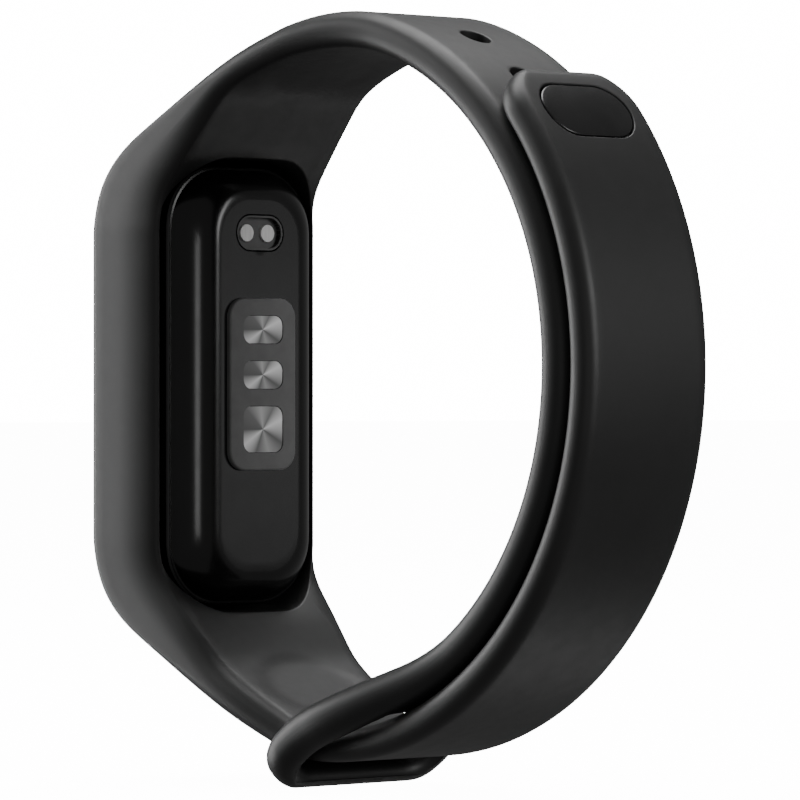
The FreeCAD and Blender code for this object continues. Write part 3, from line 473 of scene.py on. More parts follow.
def arc_x(radius, z):
    """The front's side view: flat, with round corners, at a height."""
    rise = max(abs(z) - CORNER_Z, 0.0)
    return CORNER_X - math.sqrt(max(radius * radius - rise * rise, 0.0))


def inner_line_x(z, corner):
    """The cradle's back rim: straight, then along a line to the shoulder's inner corner."""
    if abs(z) <= CRADLE_STRAIGHT:
        return BACK_X
    share = (abs(z) - CRADLE_STRAIGHT) / (abs(corner[1]) - CRADLE_STRAIGHT)
    return mix(BACK_X, corner[0], share)


def cradle_side_rows(upper):
    """Rows from a shoulder to the cradle's straight part, as (outer, inner) pairs, with the touching height and
    the shoulder's inner corner.
    """
    sign = 1 if upper else -1
    route = hole_route if upper else stud_route
    angle = UPPER_SHOULDER if upper else LOWER_SHOULDER
    place, out = route(angle), square_to(route, angle)
    if out @ (place - np.array([RING_X, RING_Z])) < 0:
        out = -out
    thick = SHOULDER_THICK if upper else LOWER_THICK
    outer_end = place + out * thick / 2
    inner_end = place - out * thick / 2
    touch_z = touching_height(outer_end)
    touch = np.array([arc_x(CORNER_RADIUS, touch_z), sign * touch_z])
    inner_touch = np.array([inner_line_x(touch_z, inner_end), sign * touch_z])
    rows = []
    count = 26
    for step in range(count):
        share = step / count
        outer = outer_end * (1 - share) + touch * share
        inner = inner_end * (1 - share) + inner_touch * share
        rows.append((outer, inner))
    return rows, touch_z, inner_end


def touching_height(outside):
    """Height at which a line from the shoulder touches the front's round corner."""
    dx, dz = outside[0] - CORNER_X, abs(outside[1]) - CORNER_Z
    turn = math.atan2(dz, dx) + math.acos(CORNER_RADIUS / math.hypot(dx, dz))
    return CORNER_Z + CORNER_RADIUS * math.sin(turn)


def cradle_half(z, end_z):
    share = (abs(z) - 14.2) / (abs(end_z) - 14.2)
    return mix(CRADLE_HALF, SHOULDER_HALF, min(max(share, 0.0), 1.0))


def cradle_rows(skin):
    upper_rows, upper_touch, upper_inner = cradle_side_rows(True)
    lower_rows, lower_touch, lower_inner = cradle_side_rows(False)
    step = 0.55
    count = int((upper_touch + lower_touch) / step)
    straight = []
    for k in range(count + 1):
        z = mix(upper_touch, -lower_touch, k / count)
        corner = upper_inner if z > 0 else lower_inner
        straight.append((np.array([arc_x(CORNER_RADIUS, z), z]), np.array([inner_line_x(z, corner), z])))
    everything = upper_rows + straight + lower_rows[::-1]
    everything = soften(everything)
    end_z = (upper_rows[0][0][1] + upper_rows[0][1][1]) / 2
    first = len(skin.rows)
    for outer, inner in everything:
        z = (outer[1] + inner[1]) / 2
        share = smooth((end_z - abs(z)) / 8.0)
        thin = 0.46 * (SHOULDER_THICK if z > 0 else LOWER_THICK)
        outer_round = (mix(thin, 1.1, share), mix(thin, 1.2, share))
        inner_round = (mix(thin, 1.0, share), mix(thin, 4.6, share))
        skin.add(outer, inner, cradle_half(z, end_z), outer_round, inner_round)
    return first, first + len(upper_rows), count


def soften(rows, passes=14):
    """Rounds the small kinks where straight and round stretches of the side view meet."""
    outer = np.array([r[0] for r in rows])
    inner = np.array([r[1] for r in rows])
    for _ in range(passes):
        for line in (outer, inner):
            line[1:-1] += 0.5 * ((line[:-2] + line[2:]) / 2 - line[1:-1])
    return list(zip(outer, inner))


def soften_joint(skin, joint, reach=15, passes=60):
    """Rounds the rows where a strap runs into the cradle."""
    rows = np.array(skin.rows[joint - reach:joint + reach])
    for _ in range(passes):
        rows[1:-1] += 0.5 * ((rows[:-2] + rows[2:]) / 2 - rows[1:-1])
    skin.rows[joint - reach:joint + reach] = [list(row) for row in rows]


def stud_root_rows(skin, first_angle, last_angle, step=0.95):
    """The stud side's strap between two angles, in order."""
    count = max(int(abs(last_angle - first_angle) / step), 2)
    for k in range(1, count + 1):
        angle = mix(first_angle, last_angle, k / count)
        stud_row(skin, angle)


def stud_row(skin, angle, half=None, thick=None):
    share = lower_share(angle)
    waist = smooth((LOWER_WAIST - angle) / (LOWER_WAIST - LOWER_SHOULDER))
    if half is None:
        half = mix(STRAP_HALF, SHOULDER_HALF, waist)
        thick = mix(OUTER_THICK, LOWER_THICK, share)
    place, out = stud_route(angle), square_to(stud_route, angle)
    if out @ (place - np.array([RING_X, RING_Z])) < 0:
        out = -out
    sides = edge_round(thick)
    skin.add(place + out * thick / 2, place - out * thick / 2, half, sides, sides)


def make_band(material):
    skin = Skin()
    loop_rows(skin)
    hole_strap_rows(skin)
    first_cradle, first_straight, straight_count = cradle_rows(skin)
    last_cradle = len(skin.rows)
    stud_root_rows(skin, LOWER_SHOULDER, SEAM_ANGLE)
    for joint in (first_cradle, last_cradle):
        soften_joint(skin, joint)
    skin.settle()
    punch_holes(skin)
    cut_slot(skin)
    hollow_seat(skin, first_straight, straight_count)
    skin.close(first=False)
    skin.points = press_ovals(skin)
    skin.close_end(0)
    return new_piece("band_moulding", skin.points, skin.faces, material)


def nearest_row(skin, angle, route):
    target = route(angle)
    middle = (skin.table[:, 0:2] + skin.table[:, 2:4]) / 2
    return int(np.argmin(np.linalg.norm(middle - target, axis=1)))


def punch_holes(skin):
    pitch = math.degrees(HOLE_PITCH / INNER_MID)
    middle_column = Skin.FLAT // 2
    for k in range(HOLE_COUNT):
        angle = STUD_ANGLE + (2 - k) * pitch
        row = nearest_row(skin, angle, hole_route)
        edge = skin.open_patch(row - 4, row + 4, middle_column - 4, middle_column + 4)
        centre = (skin.along[row], 0.0)

        def circle(targets, growth, centre=centre):
            size = HOLE_RADIUS + growth
            return rectangle_ring(targets, centre, size, size, size * 0.999)

        skin.drill(edge, circle, 0.12)


def cut_slot(skin):
    """The opening that the stud side passes through, between the loop's two rails."""
    middle = (skin.table[:, 0:2] + skin.table[:, 2:4]) / 2
    rows = len(middle)
    last = next(r for r in range(rows) if middle[r][0] > SLOT_START_X and middle[r][1] < 0)
    start = skin.along[0] + LOOP_BAR
    finish = skin.along[last]
    first_row = int(np.searchsorted(skin.along, LOOP_BAR - 1.15))
    rounding = 1.1
    last_row = int(np.searchsorted(skin.along, finish + rounding + 0.3))
    edge = skin.open_patch(first_row, last_row, 0, Skin.FLAT)
    centre = ((start + finish) / 2, 0.0)
    half = (finish - start) / 2

    def outline(targets, growth):
        ring = rectangle_ring(targets, centre, half + growth, SLOT_HALF + growth, SLOT_CORNER + growth)
        for spot in ring:
            row = skin.at(spot[0])
            spot[1] = min(max(spot[1], row[5] - row[4]), row[4] - row[5])
        return ring

    skin.drill(edge, outline, rounding, steps=6, wall_steps=3)


def hollow_seat(skin, first_straight, count):
    """The window in the front and the seat behind it that holds the capsule."""
    first_row, last_row = first_straight - 2, first_straight + count + 2
    edge = skin.open_patch(first_row, last_row, 0, Skin.FLAT)
    outer, inner = skin.spots(edge)
    heights = (skin.table[:, 1] + skin.table[:, 3]) / 2

    def to_plane(spots):
        return np.array([(np.interp(s, skin.along, heights), u) for s, u in spots])

    outer_plane, inner_plane = to_plane(outer), to_plane(inner)
    bend = 0.35

    def window(growth):
        return rectangle_ring(
            outer_plane, (0.0, 0.0), WINDOW_HALF_Z + growth, WINDOW_HALF_Y + growth, WINDOW_CORNER + growth
        )

    def seat(growth):
        return rectangle_ring(
            inner_plane, (0.0, 0.0), SEAT_HALF_Z + growth, SEAT_HALF_Y + growth, SEAT_CORNER + growth
        )

    def front(spots, depth):
        return [(arc_x(CORNER_RADIUS - depth, z), u, z) for z, u in spots]

    def along_of(z):
        here = slice(first_row, last_row + 1)
        return np.interp(-z, -heights[here], skin.along[here])

    def back(spots, depth):
        made = []
        for z, u in spots:
            row = skin.at(along_of(z))
            made.append((row[2] - depth, u, z))
        return made

    rings = []
    rim = window(bend)
    for share in (0.3, 0.65, 1.0):
        spots = outer_plane * (1 - share) + rim * share
        rings.append([(skin.at(along_of(z))[0], u, skin.at(along_of(z))[1]) for z, u in spots])
    for step in range(1, 5):
        turn = math.pi / 2 * step / 4
        rings.append(front(window(bend * (1 - math.sin(turn))), bend * (1 - math.cos(turn))))
    rings.append(front(window(0.0), LIP))
    rings.append(front(seat(0.0), LIP))
    for growth, depth in ((0.0, 1.2), (0.0, 0.12), (0.05, 0.03), (0.12, 0.0)):
        rings.append(back(seat(growth), depth))
    skin.line_up(edge, rings)


def press_ovals(skin):
    """Two shallow oval marks on the inner side of the shoulders."""
    mark_angle, half_around, half_across, depth = 105.3, 5.2, 6.4, 0.12
    points = [list(p) for p in skin.points]
    for p in points:
        x, z = p[0] - RING_X, p[2] - RING_Z
        radius, angle = math.hypot(x, z), math.degrees(math.atan2(z, x))
        route = hole_route(angle) if angle > 0 else stud_route(angle)
        middle = math.hypot(route[0] - RING_X, route[1] - RING_Z)
        if radius > middle - 0.8 or abs(abs(angle) - mark_angle) > 14:
            continue
        around = math.radians(abs(angle) - mark_angle) * radius
        inside = 1 - math.hypot(around / half_around, p[1] / half_across)
        sunk = depth * smooth(inside / 0.3)
        p[0] += x / radius * sunk
        p[2] += z / radius * sunk
    return points


def make_stud_strap(material):
    """The outer strap from its root to its round tip, with the stud's recess."""
    skin = Skin()
    stud_row(skin, SEAM_ANGLE)
    row_step = math.degrees(0.55 / OUTER_MID)
    stud_start = STUD_ANGLE - 12 * row_step
    stud_root_rows(skin, SEAM_ANGLE, stud_start)
    tip = STUD_ANGLE + math.degrees(TIP_LENGTH / OUTER_MID)
    angle = stud_start
    gaps = []
    while True:
        angle += row_step
        left = math.radians(tip - angle) * OUTER_MID
        if left < 1.4:
            break
        gaps.append(left)
    gaps += [1.14, 0.92, 0.7, 0.5, 0.34, 0.2, 0.1, 0.03, 0.0]
    for left in gaps:
        half, thick = rounded_end(left, TIP_CORNER, STRAP_HALF, OUTER_THICK)
        stud_row(skin, tip - math.degrees(left / OUTER_MID), half, max(thick, 0.02))
    skin.settle()
    recess_for_stud(skin)
    skin.close()
    return new_piece("stud_strap", skin.points, skin.faces, material)


def recess_for_stud(skin):
    row = nearest_row(skin, STUD_ANGLE, stud_route)
    edge = skin.open_patch(row - 6, row + 6, 1, Skin.FLAT - 1)
    outer, inner = skin.spots(edge)
    centre = (skin.along[row], 0.0)
    half_s = (CAP_HALF_WIDE + CAP_GAP) * OUTER_MID / OUTER_SKIN
    half_u = CAP_HALF_LONG + CAP_GAP

    def pill(growth):
        return rectangle_ring(outer, centre, half_s + growth, half_u + growth, half_s + growth - 0.001)

    def bore(targets, radius):
        return rectangle_ring(targets, centre, radius, radius, radius * 0.999)

    bend = 0.1
    rings = [skin.surface(outer * (1 - share) + pill(bend) * share, 1) for share in (0.3, 0.6, 0.85, 1.0)]
    for step in range(1, 5):
        turn = math.pi / 2 * step / 4
        rings.append(skin.depth_ring(pill(bend * (1 - math.sin(turn))), bend * (1 - math.cos(turn))))
    rings.append(skin.depth_ring(pill(0.0), CAP_THICK))
    rings.append(skin.depth_ring(bore(outer, 2.25), CAP_THICK))
    rings.append(skin.depth_ring(bore(outer, 2.25), CAP_THICK + 0.5))
    rings.append(skin.depth_ring(bore(outer, POST_RADIUS + 0.05), CAP_THICK + 0.5))
    rings.append(skin.surface(bore(inner, POST_RADIUS + 0.05), -1))
    rings.append(skin.surface(inner * 0.5 + bore(inner, POST_RADIUS + 0.05) * 0.5, -1))
    skin.line_up(edge, rings)


# ---------------------------------------------------------------------------
# Hard pieces
# ---------------------------------------------------------------------------

def outline_targets(half_a, half_b, count=160):
    """Even directions round a rounded rectangle."""
    made = []
    for k in range(count):
        turn = 2 * math.pi * (k + 0.5) / count
        made.append((half_a * math.cos(turn) * 2, half_b * math.sin(turn) * 2))
    return np.array(made)


def rings_to_piece(name, rings, material, close_first=True, close_last=True, loop_back=False):
    """A skin through rings of equal count."""
    points, faces = [], []
    count = len(rings[0])
    for ring in rings:
        points += [tuple(p) for p in ring]
    pairs = list(range(len(rings) - 1))
    for r in pairs:
        for k in range(count):
            n = (k + 1) % count
            faces.append((r * count + k, r * count + n, (r + 1) * count + n, (r + 1) * count + k))
    last = (len(rings) - 1) * count
    if loop_back:
        for k in range(count):
            n = (k + 1) % count
            faces.append((last + k, last + n, n, k))
    else:
        if close_first:
            faces.append(tuple(range(count)))
        if close_last:
            faces.append(tuple(range(last, last + count)))
    return new_piece(name, points, faces, material)


def capsule_ring(inset_y, inset_z, x, corner=CAPSULE_CORNER):
    targets = outline_targets(CAPSULE_HALF_Y, CAPSULE_HALF_Z)
    spots = rectangle_ring(
        targets, (0.0, 0.0), CAPSULE_HALF_Y - inset_y, CAPSULE_HALF_Z - inset_z, max(corner, 0.4)
    )
    if callable(x):
        return [(x(z), y, z) for y, z in spots]
    return [(x, y, z) for y, z in spots]


def make_housing(material):
    """The capsule's back shell: a crowned back with a flat field, a charging recess, and its inner side."""
    radius = CORNER_RADIUS - LIP - LIP_CLEARANCE
    dome_deep, dome_wide, dome_tall, field_corner = 7.0, 4.3, 3.4, 3.4
    dome_start = CAPSULE_BACK - dome_deep
    seam_turn, seam_width, seam_height = math.radians(33), math.radians(1.6), 0.11

    def dome(wall, steps):
        made = []
        turns = [math.pi / 2 * step / steps for step in range(1, steps + 1)]
        if not wall:
            turns += [seam_turn + seam_width * k for k in (-1.6, -1, 0, 1, 1.6)]
        for turn in sorted(turns):
            bead = 0.0 if wall else seam_height * (abs(turn - seam_turn) < seam_width * 1.3)
            x = dome_start + (dome_deep - wall) * math.sin(turn)
            inset = 1 - math.cos(turn)
            made.append(capsule_ring(
                wall - bead + dome_wide * inset, wall - bead + dome_tall * inset, x + bead * math.sin(turn),
                mix(CAPSULE_CORNER, field_corner, inset) - wall * 0.6,
            ))
        return made

    def front(z):
        return arc_x(radius, z)

    def front_edge(z):
        return arc_x(radius - 0.12, z)

    outer = [capsule_ring(0.12, 0.12, front), capsule_ring(0.0, 0.0, front_edge)]
    outer += [capsule_ring(0.0, 0.0, dome_start)]
    outer += dome(0.0, 22)
    field = [(y, z) for _, y, z in outer[-1]]

    def port(growth):
        return rectangle_ring(
            field, (0.0, PORT_Z), PORT_HALF_Y + growth, PORT_HALF_Z + growth, PORT_HALF_Z + growth - CORNER_EASE
        )

    bend = 0.16
    for share in (0.03, 0.08, 0.5, 0.93, 0.98, 1.0):
        spots = np.array(field) * (1 - share) + port(bend) * share
        outer.append([(CAPSULE_BACK, y, z) for y, z in spots])
    for step in range(1, 5):
        turn = math.pi / 2 * step / 4
        spots = port(bend * (1 - math.sin(turn)))
        outer.append([(CAPSULE_BACK - bend * (1 - math.cos(turn)), y, z) for y, z in spots])
    inner_x = CAPSULE_BACK - HOUSING_WALL
    outer.append([(inner_x, y, z) for y, z in port(0.0)])
    inner = dome(HOUSING_WALL, 10)[::-1]
    inner += [capsule_ring(HOUSING_WALL, HOUSING_WALL, dome_start)]
    inner.append(capsule_ring(HOUSING_WALL, HOUSING_WALL, front))
    return rings_to_piece("capsule_shell", outer + inner, material, loop_back=True)


def make_glass(material):
    """The front glass: flush with the lip, round at its corners, with a fine bevel."""
    targets = outline_targets(GLASS_HALF_Y, GLASS_HALF_Z)
    bevel = 0.22

    def ring(growth, depth):
        spots = rectangle_ring(
            targets, (0.0, 0.0), GLASS_HALF_Y + growth, GLASS_HALF_Z + growth, max(GLASS_CORNER + growth, 0.3)
        )
        return [(arc_x(CORNER_RADIUS - depth, z), y, z) for y, z in spots]

    def shrunk(share, depth):
        spots = rectangle_ring(
            targets, (0.0, 0.0), GLASS_HALF_Y - bevel, GLASS_HALF_Z - bevel, GLASS_CORNER - bevel
        ) * share
        return [(arc_x(CORNER_RADIUS - depth, z), y, z) for y, z in spots]

    inward = [0.97, 0.94, 0.91, 0.88, 0.85, 0.82, 0.79, 0.76, 0.6, 0.3, 0.02]
    rings = [shrunk(share, 0.98) for share in inward[::-1]]
    rings += [ring(-0.1, 0.98), ring(0.0, 0.88), ring(0.0, bevel)]
    for step in range(1, 5):
        turn = math.pi / 2 * step / 4
        rings.append(ring(-bevel * (1 - math.cos(turn)), bevel * (1 - math.sin(turn))))
    rings += [shrunk(share, 0.0) for share in inward]
    return rings_to_piece("front_glass", rings, material)


def make_cap(material):
    """The stud's oval cap, bent with the strap, its top crowned and its edge rounded."""
    targets = outline_targets(CAP_HALF_WIDE, CAP_HALF_LONG, 96)

    def ring(share, growth, height):
        spots = rectangle_ring(
            targets, (0.0, 0.0), CAP_HALF_WIDE + growth, CAP_HALF_LONG + growth,
            CAP_HALF_WIDE + growth - CORNER_EASE
        ) * share
        made = []
        for around, across in spots:
            angle = STUD_ANGLE + math.degrees(around / OUTER_SKIN)
            place = ring_point(OUTER_SKIN + height, angle)
            made.append((place[0], across, place[1]))
        return made

    rings = [ring(0.02, 0, -CAP_THICK), ring(1, -0.05, -CAP_THICK), ring(1, 0, -CAP_THICK + 0.05)]
    bend, crown = 0.14, 0.12
    rings.append(ring(1, 0, -bend))
    for step in range(1, 7):
        swing = math.pi / 2 * step / 6
        rings.append(ring(1, -bend * (1 - math.cos(swing)), -bend * (1 - math.sin(swing))))
    for step in range(1, 9):
        share = 1 - step / 8 * 0.99
        rings.append(ring(share, -bend, crown * (1 - share * share)))
    return rings_to_piece("stud_button", rings, material)


def scatter_group():
    """Small blocks scattered on a surface. Inputs: Surface, Spacing, Density, Length, Seed, Material."""
    tree = bpy.data.node_groups.new("scatter_blocks", "GeometryNodeTree")
    tree.interface.new_socket("Geometry", in_out="OUTPUT", socket_type="NodeSocketGeometry")
    tree.interface.new_socket("Surface", in_out="INPUT", socket_type="NodeSocketGeometry")
    for label, kind, value in (
        ("Spacing", "NodeSocketFloat", 0.8 * MM), ("Density", "NodeSocketFloat", 9e5),
        ("Length", "NodeSocketFloat", 0.6 * MM), ("Seed", "NodeSocketInt", 7),
        ("Material", "NodeSocketMaterial", None),
    ):
        socket = tree.interface.new_socket(label, in_out="INPUT", socket_type=kind)
        if value is not None:
            socket.default_value = value

    def add(kind, **settings):
        node = tree.nodes.new(kind)
        for name, value in settings.items():
            setattr(node, name, value)
        return node

    start, end = add("NodeGroupInput"), add("NodeGroupOutput")
    spread = add("GeometryNodeDistributePointsOnFaces", distribute_method="POISSON")
    block, soft = add("GeometryNodeMeshCube"), add("GeometryNodeSubdivisionSurface")
    size = add("ShaderNodeCombineXYZ")
    crease = 0.85
    turn = add("FunctionNodeRandomValue", data_type="INT")
    quarter = add("ShaderNodeMath", operation="MULTIPLY")
    quarter.inputs[1].default_value = math.pi / 2
    turn_vector = add("ShaderNodeCombineXYZ")
    grow = add("FunctionNodeRandomValue", data_type="FLOAT")
    grow.inputs["Min"].default_value, grow.inputs["Max"].default_value = 0.7, 1.15
    place, solid = add("GeometryNodeInstanceOnPoints"), add("GeometryNodeRealizeInstances")
    dress_up = add("GeometryNodeSetMaterial")
    for axis, share in (("X", 0.55), ("Y", 0.5), ("Z", 1.0)):
        part = add("ShaderNodeMath", operation="MULTIPLY")
        part.inputs[1].default_value = share
        tree.links.new(start.outputs["Length"], part.inputs[0])
        tree.links.new(part.outputs[0], size.inputs[axis])
    soft.inputs["Level"].default_value = 2
    soft.inputs["Edge Crease"].default_value = crease
    soft.inputs["Vertex Crease"].default_value = crease
    links = (
        (start.outputs["Surface"], spread.inputs["Mesh"]),
        (start.outputs["Spacing"], spread.inputs["Distance Min"]),
        (start.outputs["Density"], spread.inputs["Density Max"]),
        (start.outputs["Seed"], spread.inputs["Seed"]),
        (start.outputs["Seed"], turn.inputs["Seed"]),
        (start.outputs["Seed"], grow.inputs["Seed"]),
        (size.outputs["Vector"], block.inputs["Size"]),
        (block.outputs["Mesh"], soft.inputs["Mesh"]),
        (soft.outputs["Mesh"], place.inputs["Instance"]),
        (spread.outputs["Points"], place.inputs["Points"]),
        (turn.outputs[2], quarter.inputs[0]),
        (quarter.outputs[0], turn_vector.inputs["X"]),
        (turn_vector.outputs["Vector"], place.inputs["Rotation"]),
        (grow.outputs[1], place.inputs["Scale"]),
        (place.outputs["Instances"], solid.inputs["Geometry"]),
        (solid.outputs["Geometry"], dress_up.inputs["Geometry"]),
        (start.outputs["Material"], dress_up.inputs["Material"]),
        (dress_up.outputs["Geometry"], end.inputs["Geometry"]),
    )
    for out_socket, in_socket in links:
        tree.links.new(out_socket, in_socket)
    return tree


def make_passives(material):
    """Small parts on the main board's back, on its free fields between the chips."""
    low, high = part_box("main_board")
    lift = 0.14
    level = high.x / MM + lift
    # Each field runs from y0 to y1 and from z0 to z1.
    fields = (
        (-6.2, -2.2, 3.4, 7.2), (0.2, 3.2, 10.6, 12.6),
        (-6.0, 0.2, -7.0, -9.8), (2.6, 6.4, -6.5, -9.8),
    )
    points, faces = [], []
    for y0, y1, z0, z1 in fields:
        first = len(points)
        points += [(level, y0, z0), (level, y1, z0), (level, y1, z1), (level, y0, z1)]
        faces.append((first, first + 1, first + 2, first + 3))
    piece = new_piece("board_passives", points, faces, material, smooth_shading=False)
    modifier = piece.modifiers.new("scatter", "NODES")
    modifier.node_group = scatter_group()
    names = {item.name: item.identifier for item in modifier.node_group.interface.items_tree}
    for label, value in (
        ("Spacing", 0.9 * MM), ("Density", 1.2e6), ("Length", 0.55 * MM), ("Seed", 11),
        ("Material", material),
    ):
        modifier[names[label]] = value
    graph = bpy.context.evaluated_depsgraph_get()
    mesh = bpy.data.meshes.new_from_object(piece.evaluated_get(graph))
    piece.modifiers.clear()
    piece.data = mesh
    return piece


# ---------------------------------------------------------------------------
# Materials
# ---------------------------------------------------------------------------

class Finish:
    """A node material with a few helpers."""

    def __init__(self, name, colour, roughness, **sockets):
        self.material = bpy.data.materials.new(name)
        self.material.use_nodes = True
        self.tree = self.material.node_tree
        self.shader = self.tree.nodes["Principled BSDF"]
        self.shader.inputs["Base Color"].default_value = (*colour, 1)
        self.shader.inputs["Roughness"].default_value = roughness
        for socket, value in sockets.items():
            self.shader.inputs[socket.replace("_", " ")].default_value = value
        self.where = self.add("ShaderNodeTexCoord").outputs["Object"]

    def add(self, kind, **settings):
        node = self.tree.nodes.new(kind)
        for name, value in settings.items():
            setattr(node, name, value)
        return node

    def link(self, start, end):
        self.tree.links.new(start, end)

    def noise(self, scale, detail=3.0, rough=0.5, where=None):
        node = self.add("ShaderNodeTexNoise")
        node.inputs["Scale"].default_value = scale
        node.inputs["Detail"].default_value = detail
        node.inputs["Roughness"].default_value = rough
        self.link(where or self.where, node.inputs["Vector"])
        return node.outputs["Fac"]

    def ramp(self, value, stops):
        node = self.add("ShaderNodeValToRGB")
        band = node.color_ramp
        while len(band.elements) < len(stops):
            band.elements.new(0.5)
        for element, (position, colour) in zip(band.elements, stops):
            element.position = position
            element.color = (*colour, 1) if len(colour) == 3 else colour
        self.link(value, node.inputs["Fac"])
        return node.outputs["Color"]

    def spread(self, value, low, high):
        node = self.add("ShaderNodeMapRange")
        node.inputs["To Min"].default_value = low
        node.inputs["To Max"].default_value = high
        self.link(value, node.inputs["Value"])
        return node.outputs["Result"]

    def bump(self, value, strength, distance):
        node = self.add("ShaderNodeBump")
        node.inputs["Strength"].default_value = strength
        node.inputs["Distance"].default_value = distance
        self.link(value, node.inputs["Height"])
        self.link(node.outputs["Normal"], self.shader.inputs["Normal"])

    def vary_roughness(self, value, low, high):
        self.link(self.spread(value, low, high), self.shader.inputs["Roughness"])

    def vary_colour(self, value, dark, light):
        self.link(self.ramp(value, [(0.35, dark), (0.65, light)]), self.shader.inputs["Base Color"])


def grey(value, warm=0.0):
    return (value * (1 + warm), value, value * (1 - warm))


def silicone():
    made = Finish("strap_silicone", grey(0.011), 0.46, Specular_IOR_Level=0.42)
    made.vary_colour(made.noise(90, 4), grey(0.0095), grey(0.0125))
    made.vary_roughness(made.noise(700, 3), 0.42, 0.52)
    made.bump(made.noise(9000, 2, 0.6), 0.12, 0.00002)
    return made.material


def gloss_black():
    made = Finish("capsule_gloss", grey(0.004), 0.2, Specular_IOR_Level=0.5)
    # Painted highlight: a thin light grey line is painted into the base colour round the shell, just in front
    # of the pocket's mouth, in place of the light caught along the seam.
    split = made.add("ShaderNodeSeparateXYZ")
    made.link(made.where, split.inputs["Vector"])
    seam_highlight_band = made.add("ShaderNodeMapRange")
    seam_highlight_band.inputs["From Min"].default_value = -0.02234
    seam_highlight_band.inputs["From Max"].default_value = -0.02194
    made.link(split.outputs["X"], seam_highlight_band.inputs["Value"])
    line = made.ramp(seam_highlight_band.outputs["Result"], [
        (0.0, grey(0.0)), (0.25, grey(1.0)), (0.75, grey(1.0)), (1.0, grey(0.0)),
    ])
    blend = made.add("ShaderNodeMix", data_type="RGBA")
    made.link(line, blend.inputs["Factor"])
    made.link(made.ramp(made.noise(150, 3), [(0.35, grey(0.003)), (0.65, grey(0.005))]), blend.inputs[6])
    blend.inputs[7].default_value = (*grey(0.07), 1)
    made.link(blend.outputs[2], made.shader.inputs["Base Color"])
    made.vary_roughness(made.noise(400, 3), 0.17, 0.23)
    made.bump(made.noise(2500, 2), 0.02, 0.00001)
    return made.material


def stud_gloss():
    made = Finish("stud_gloss", grey(0.006), 0.22, Specular_IOR_Level=0.5)
    made.vary_colour(made.noise(300, 3), grey(0.005), grey(0.008))
    made.vary_roughness(made.noise(900, 3), 0.2, 0.28)
    made.bump(made.noise(6000, 2), 0.03, 0.00001)
    return made.material


def front_glass_finish():
    """Dark ink behind clear glass, with the display's field a shade lighter."""
    made = Finish("front_glass", grey(0.004), 0.04, IOR=1.52)
    made.shader.inputs["Coat Weight"].default_value = 0.6
    made.shader.inputs["Coat Roughness"].default_value = 0.02
    split = made.add("ShaderNodeSeparateXYZ")
    made.link(made.where, split.inputs["Vector"])
    reach = []
    for axis, half in (("Y", 0.0059), ("Z", 0.0135)):
        size = made.add("ShaderNodeMath", operation="ABSOLUTE")
        made.link(split.outputs[axis], size.inputs[0])
        less = made.add("ShaderNodeMath", operation="LESS_THAN")
        less.inputs[1].default_value = half
        made.link(size.outputs[0], less.inputs[0])
        reach.append(less.outputs[0])
    both = made.add("ShaderNodeMath", operation="MULTIPLY")
    made.link(reach[0], both.inputs[0])
    made.link(reach[1], both.inputs[1])
    made.link(
        made.ramp(both.outputs[0], [(0.0, grey(0.0025)), (1.0, (0.006, 0.0065, 0.008))]),
        made.shader.inputs["Base Color"],
    )
    made.vary_roughness(made.noise(500, 3), 0.025, 0.06)
    return made.material


def matte(name, dark, light, roughness, grain=4000, metallic=0.0, strength=0.08):
    made = Finish(name, dark, roughness)
    made.shader.inputs["Metallic"].default_value = metallic
    made.vary_colour(made.noise(600, 4), dark, light)
    made.vary_roughness(made.noise(grain, 3), roughness * 0.88, min(roughness * 1.15, 1.0))
    made.bump(made.noise(grain, 2), strength, 0.00002)
    return made.material


def brushed(name, dark, light, roughness, stretch, metallic=1.0):
    """Metal with fine lines along one axis."""
    made = Finish(name, dark, roughness)
    made.shader.inputs["Metallic"].default_value = metallic
    mapping = made.add("ShaderNodeMapping")
    mapping.inputs["Scale"].default_value = stretch
    made.link(made.where, mapping.inputs["Vector"])
    lines = made.noise(1, 4, 0.6, mapping.outputs["Vector"])
    made.vary_colour(lines, dark, light)
    made.vary_roughness(lines, roughness * 0.8, roughness * 1.2)
    made.bump(lines, 0.06, 0.00001)
    return made.material


def window_foil_painted_sheen(name, centre):
    """A disc-turned foil behind a sensor window, with a painted sheen: light and dark rays from its middle
    painted into its colour.
    """
    made = Finish(name, grey(0.3), 0.32, Metallic=0.4)
    mapping = made.add("ShaderNodeMapping", vector_type="POINT")
    mapping.inputs["Location"].default_value = (-centre[1] / 1, -centre[2], 0)
    order = made.add("ShaderNodeSeparateXYZ")
    made.link(made.where, order.inputs["Vector"])
    flat = made.add("ShaderNodeCombineXYZ")
    made.link(order.outputs["Y"], flat.inputs["X"])
    made.link(order.outputs["Z"], flat.inputs["Y"])
    made.link(flat.outputs["Vector"], mapping.inputs["Vector"])
    turn = made.add("ShaderNodeTexGradient", gradient_type="RADIAL")
    made.link(mapping.outputs["Vector"], turn.inputs["Vector"])
    # Painted sheen: the bright and dark rays in the base colour stand in for light caught in the turned
    # grooves.
    stops = [
        (0.0, grey(0.13)), (0.09, grey(0.85)), (0.19, grey(0.17)), (0.30, grey(0.42)), (0.42, grey(0.14)),
        (0.56, grey(0.9)), (0.66, grey(0.22)), (0.77, grey(0.5)), (0.88, grey(0.18)), (1.0, grey(0.13)),
    ]
    made.link(made.ramp(turn.outputs["Fac"], stops), made.shader.inputs["Base Color"])
    made.vary_roughness(made.noise(5000, 2), 0.28, 0.4)
    made.bump(made.noise(8000, 2), 0.04, 0.00001)
    return made.material


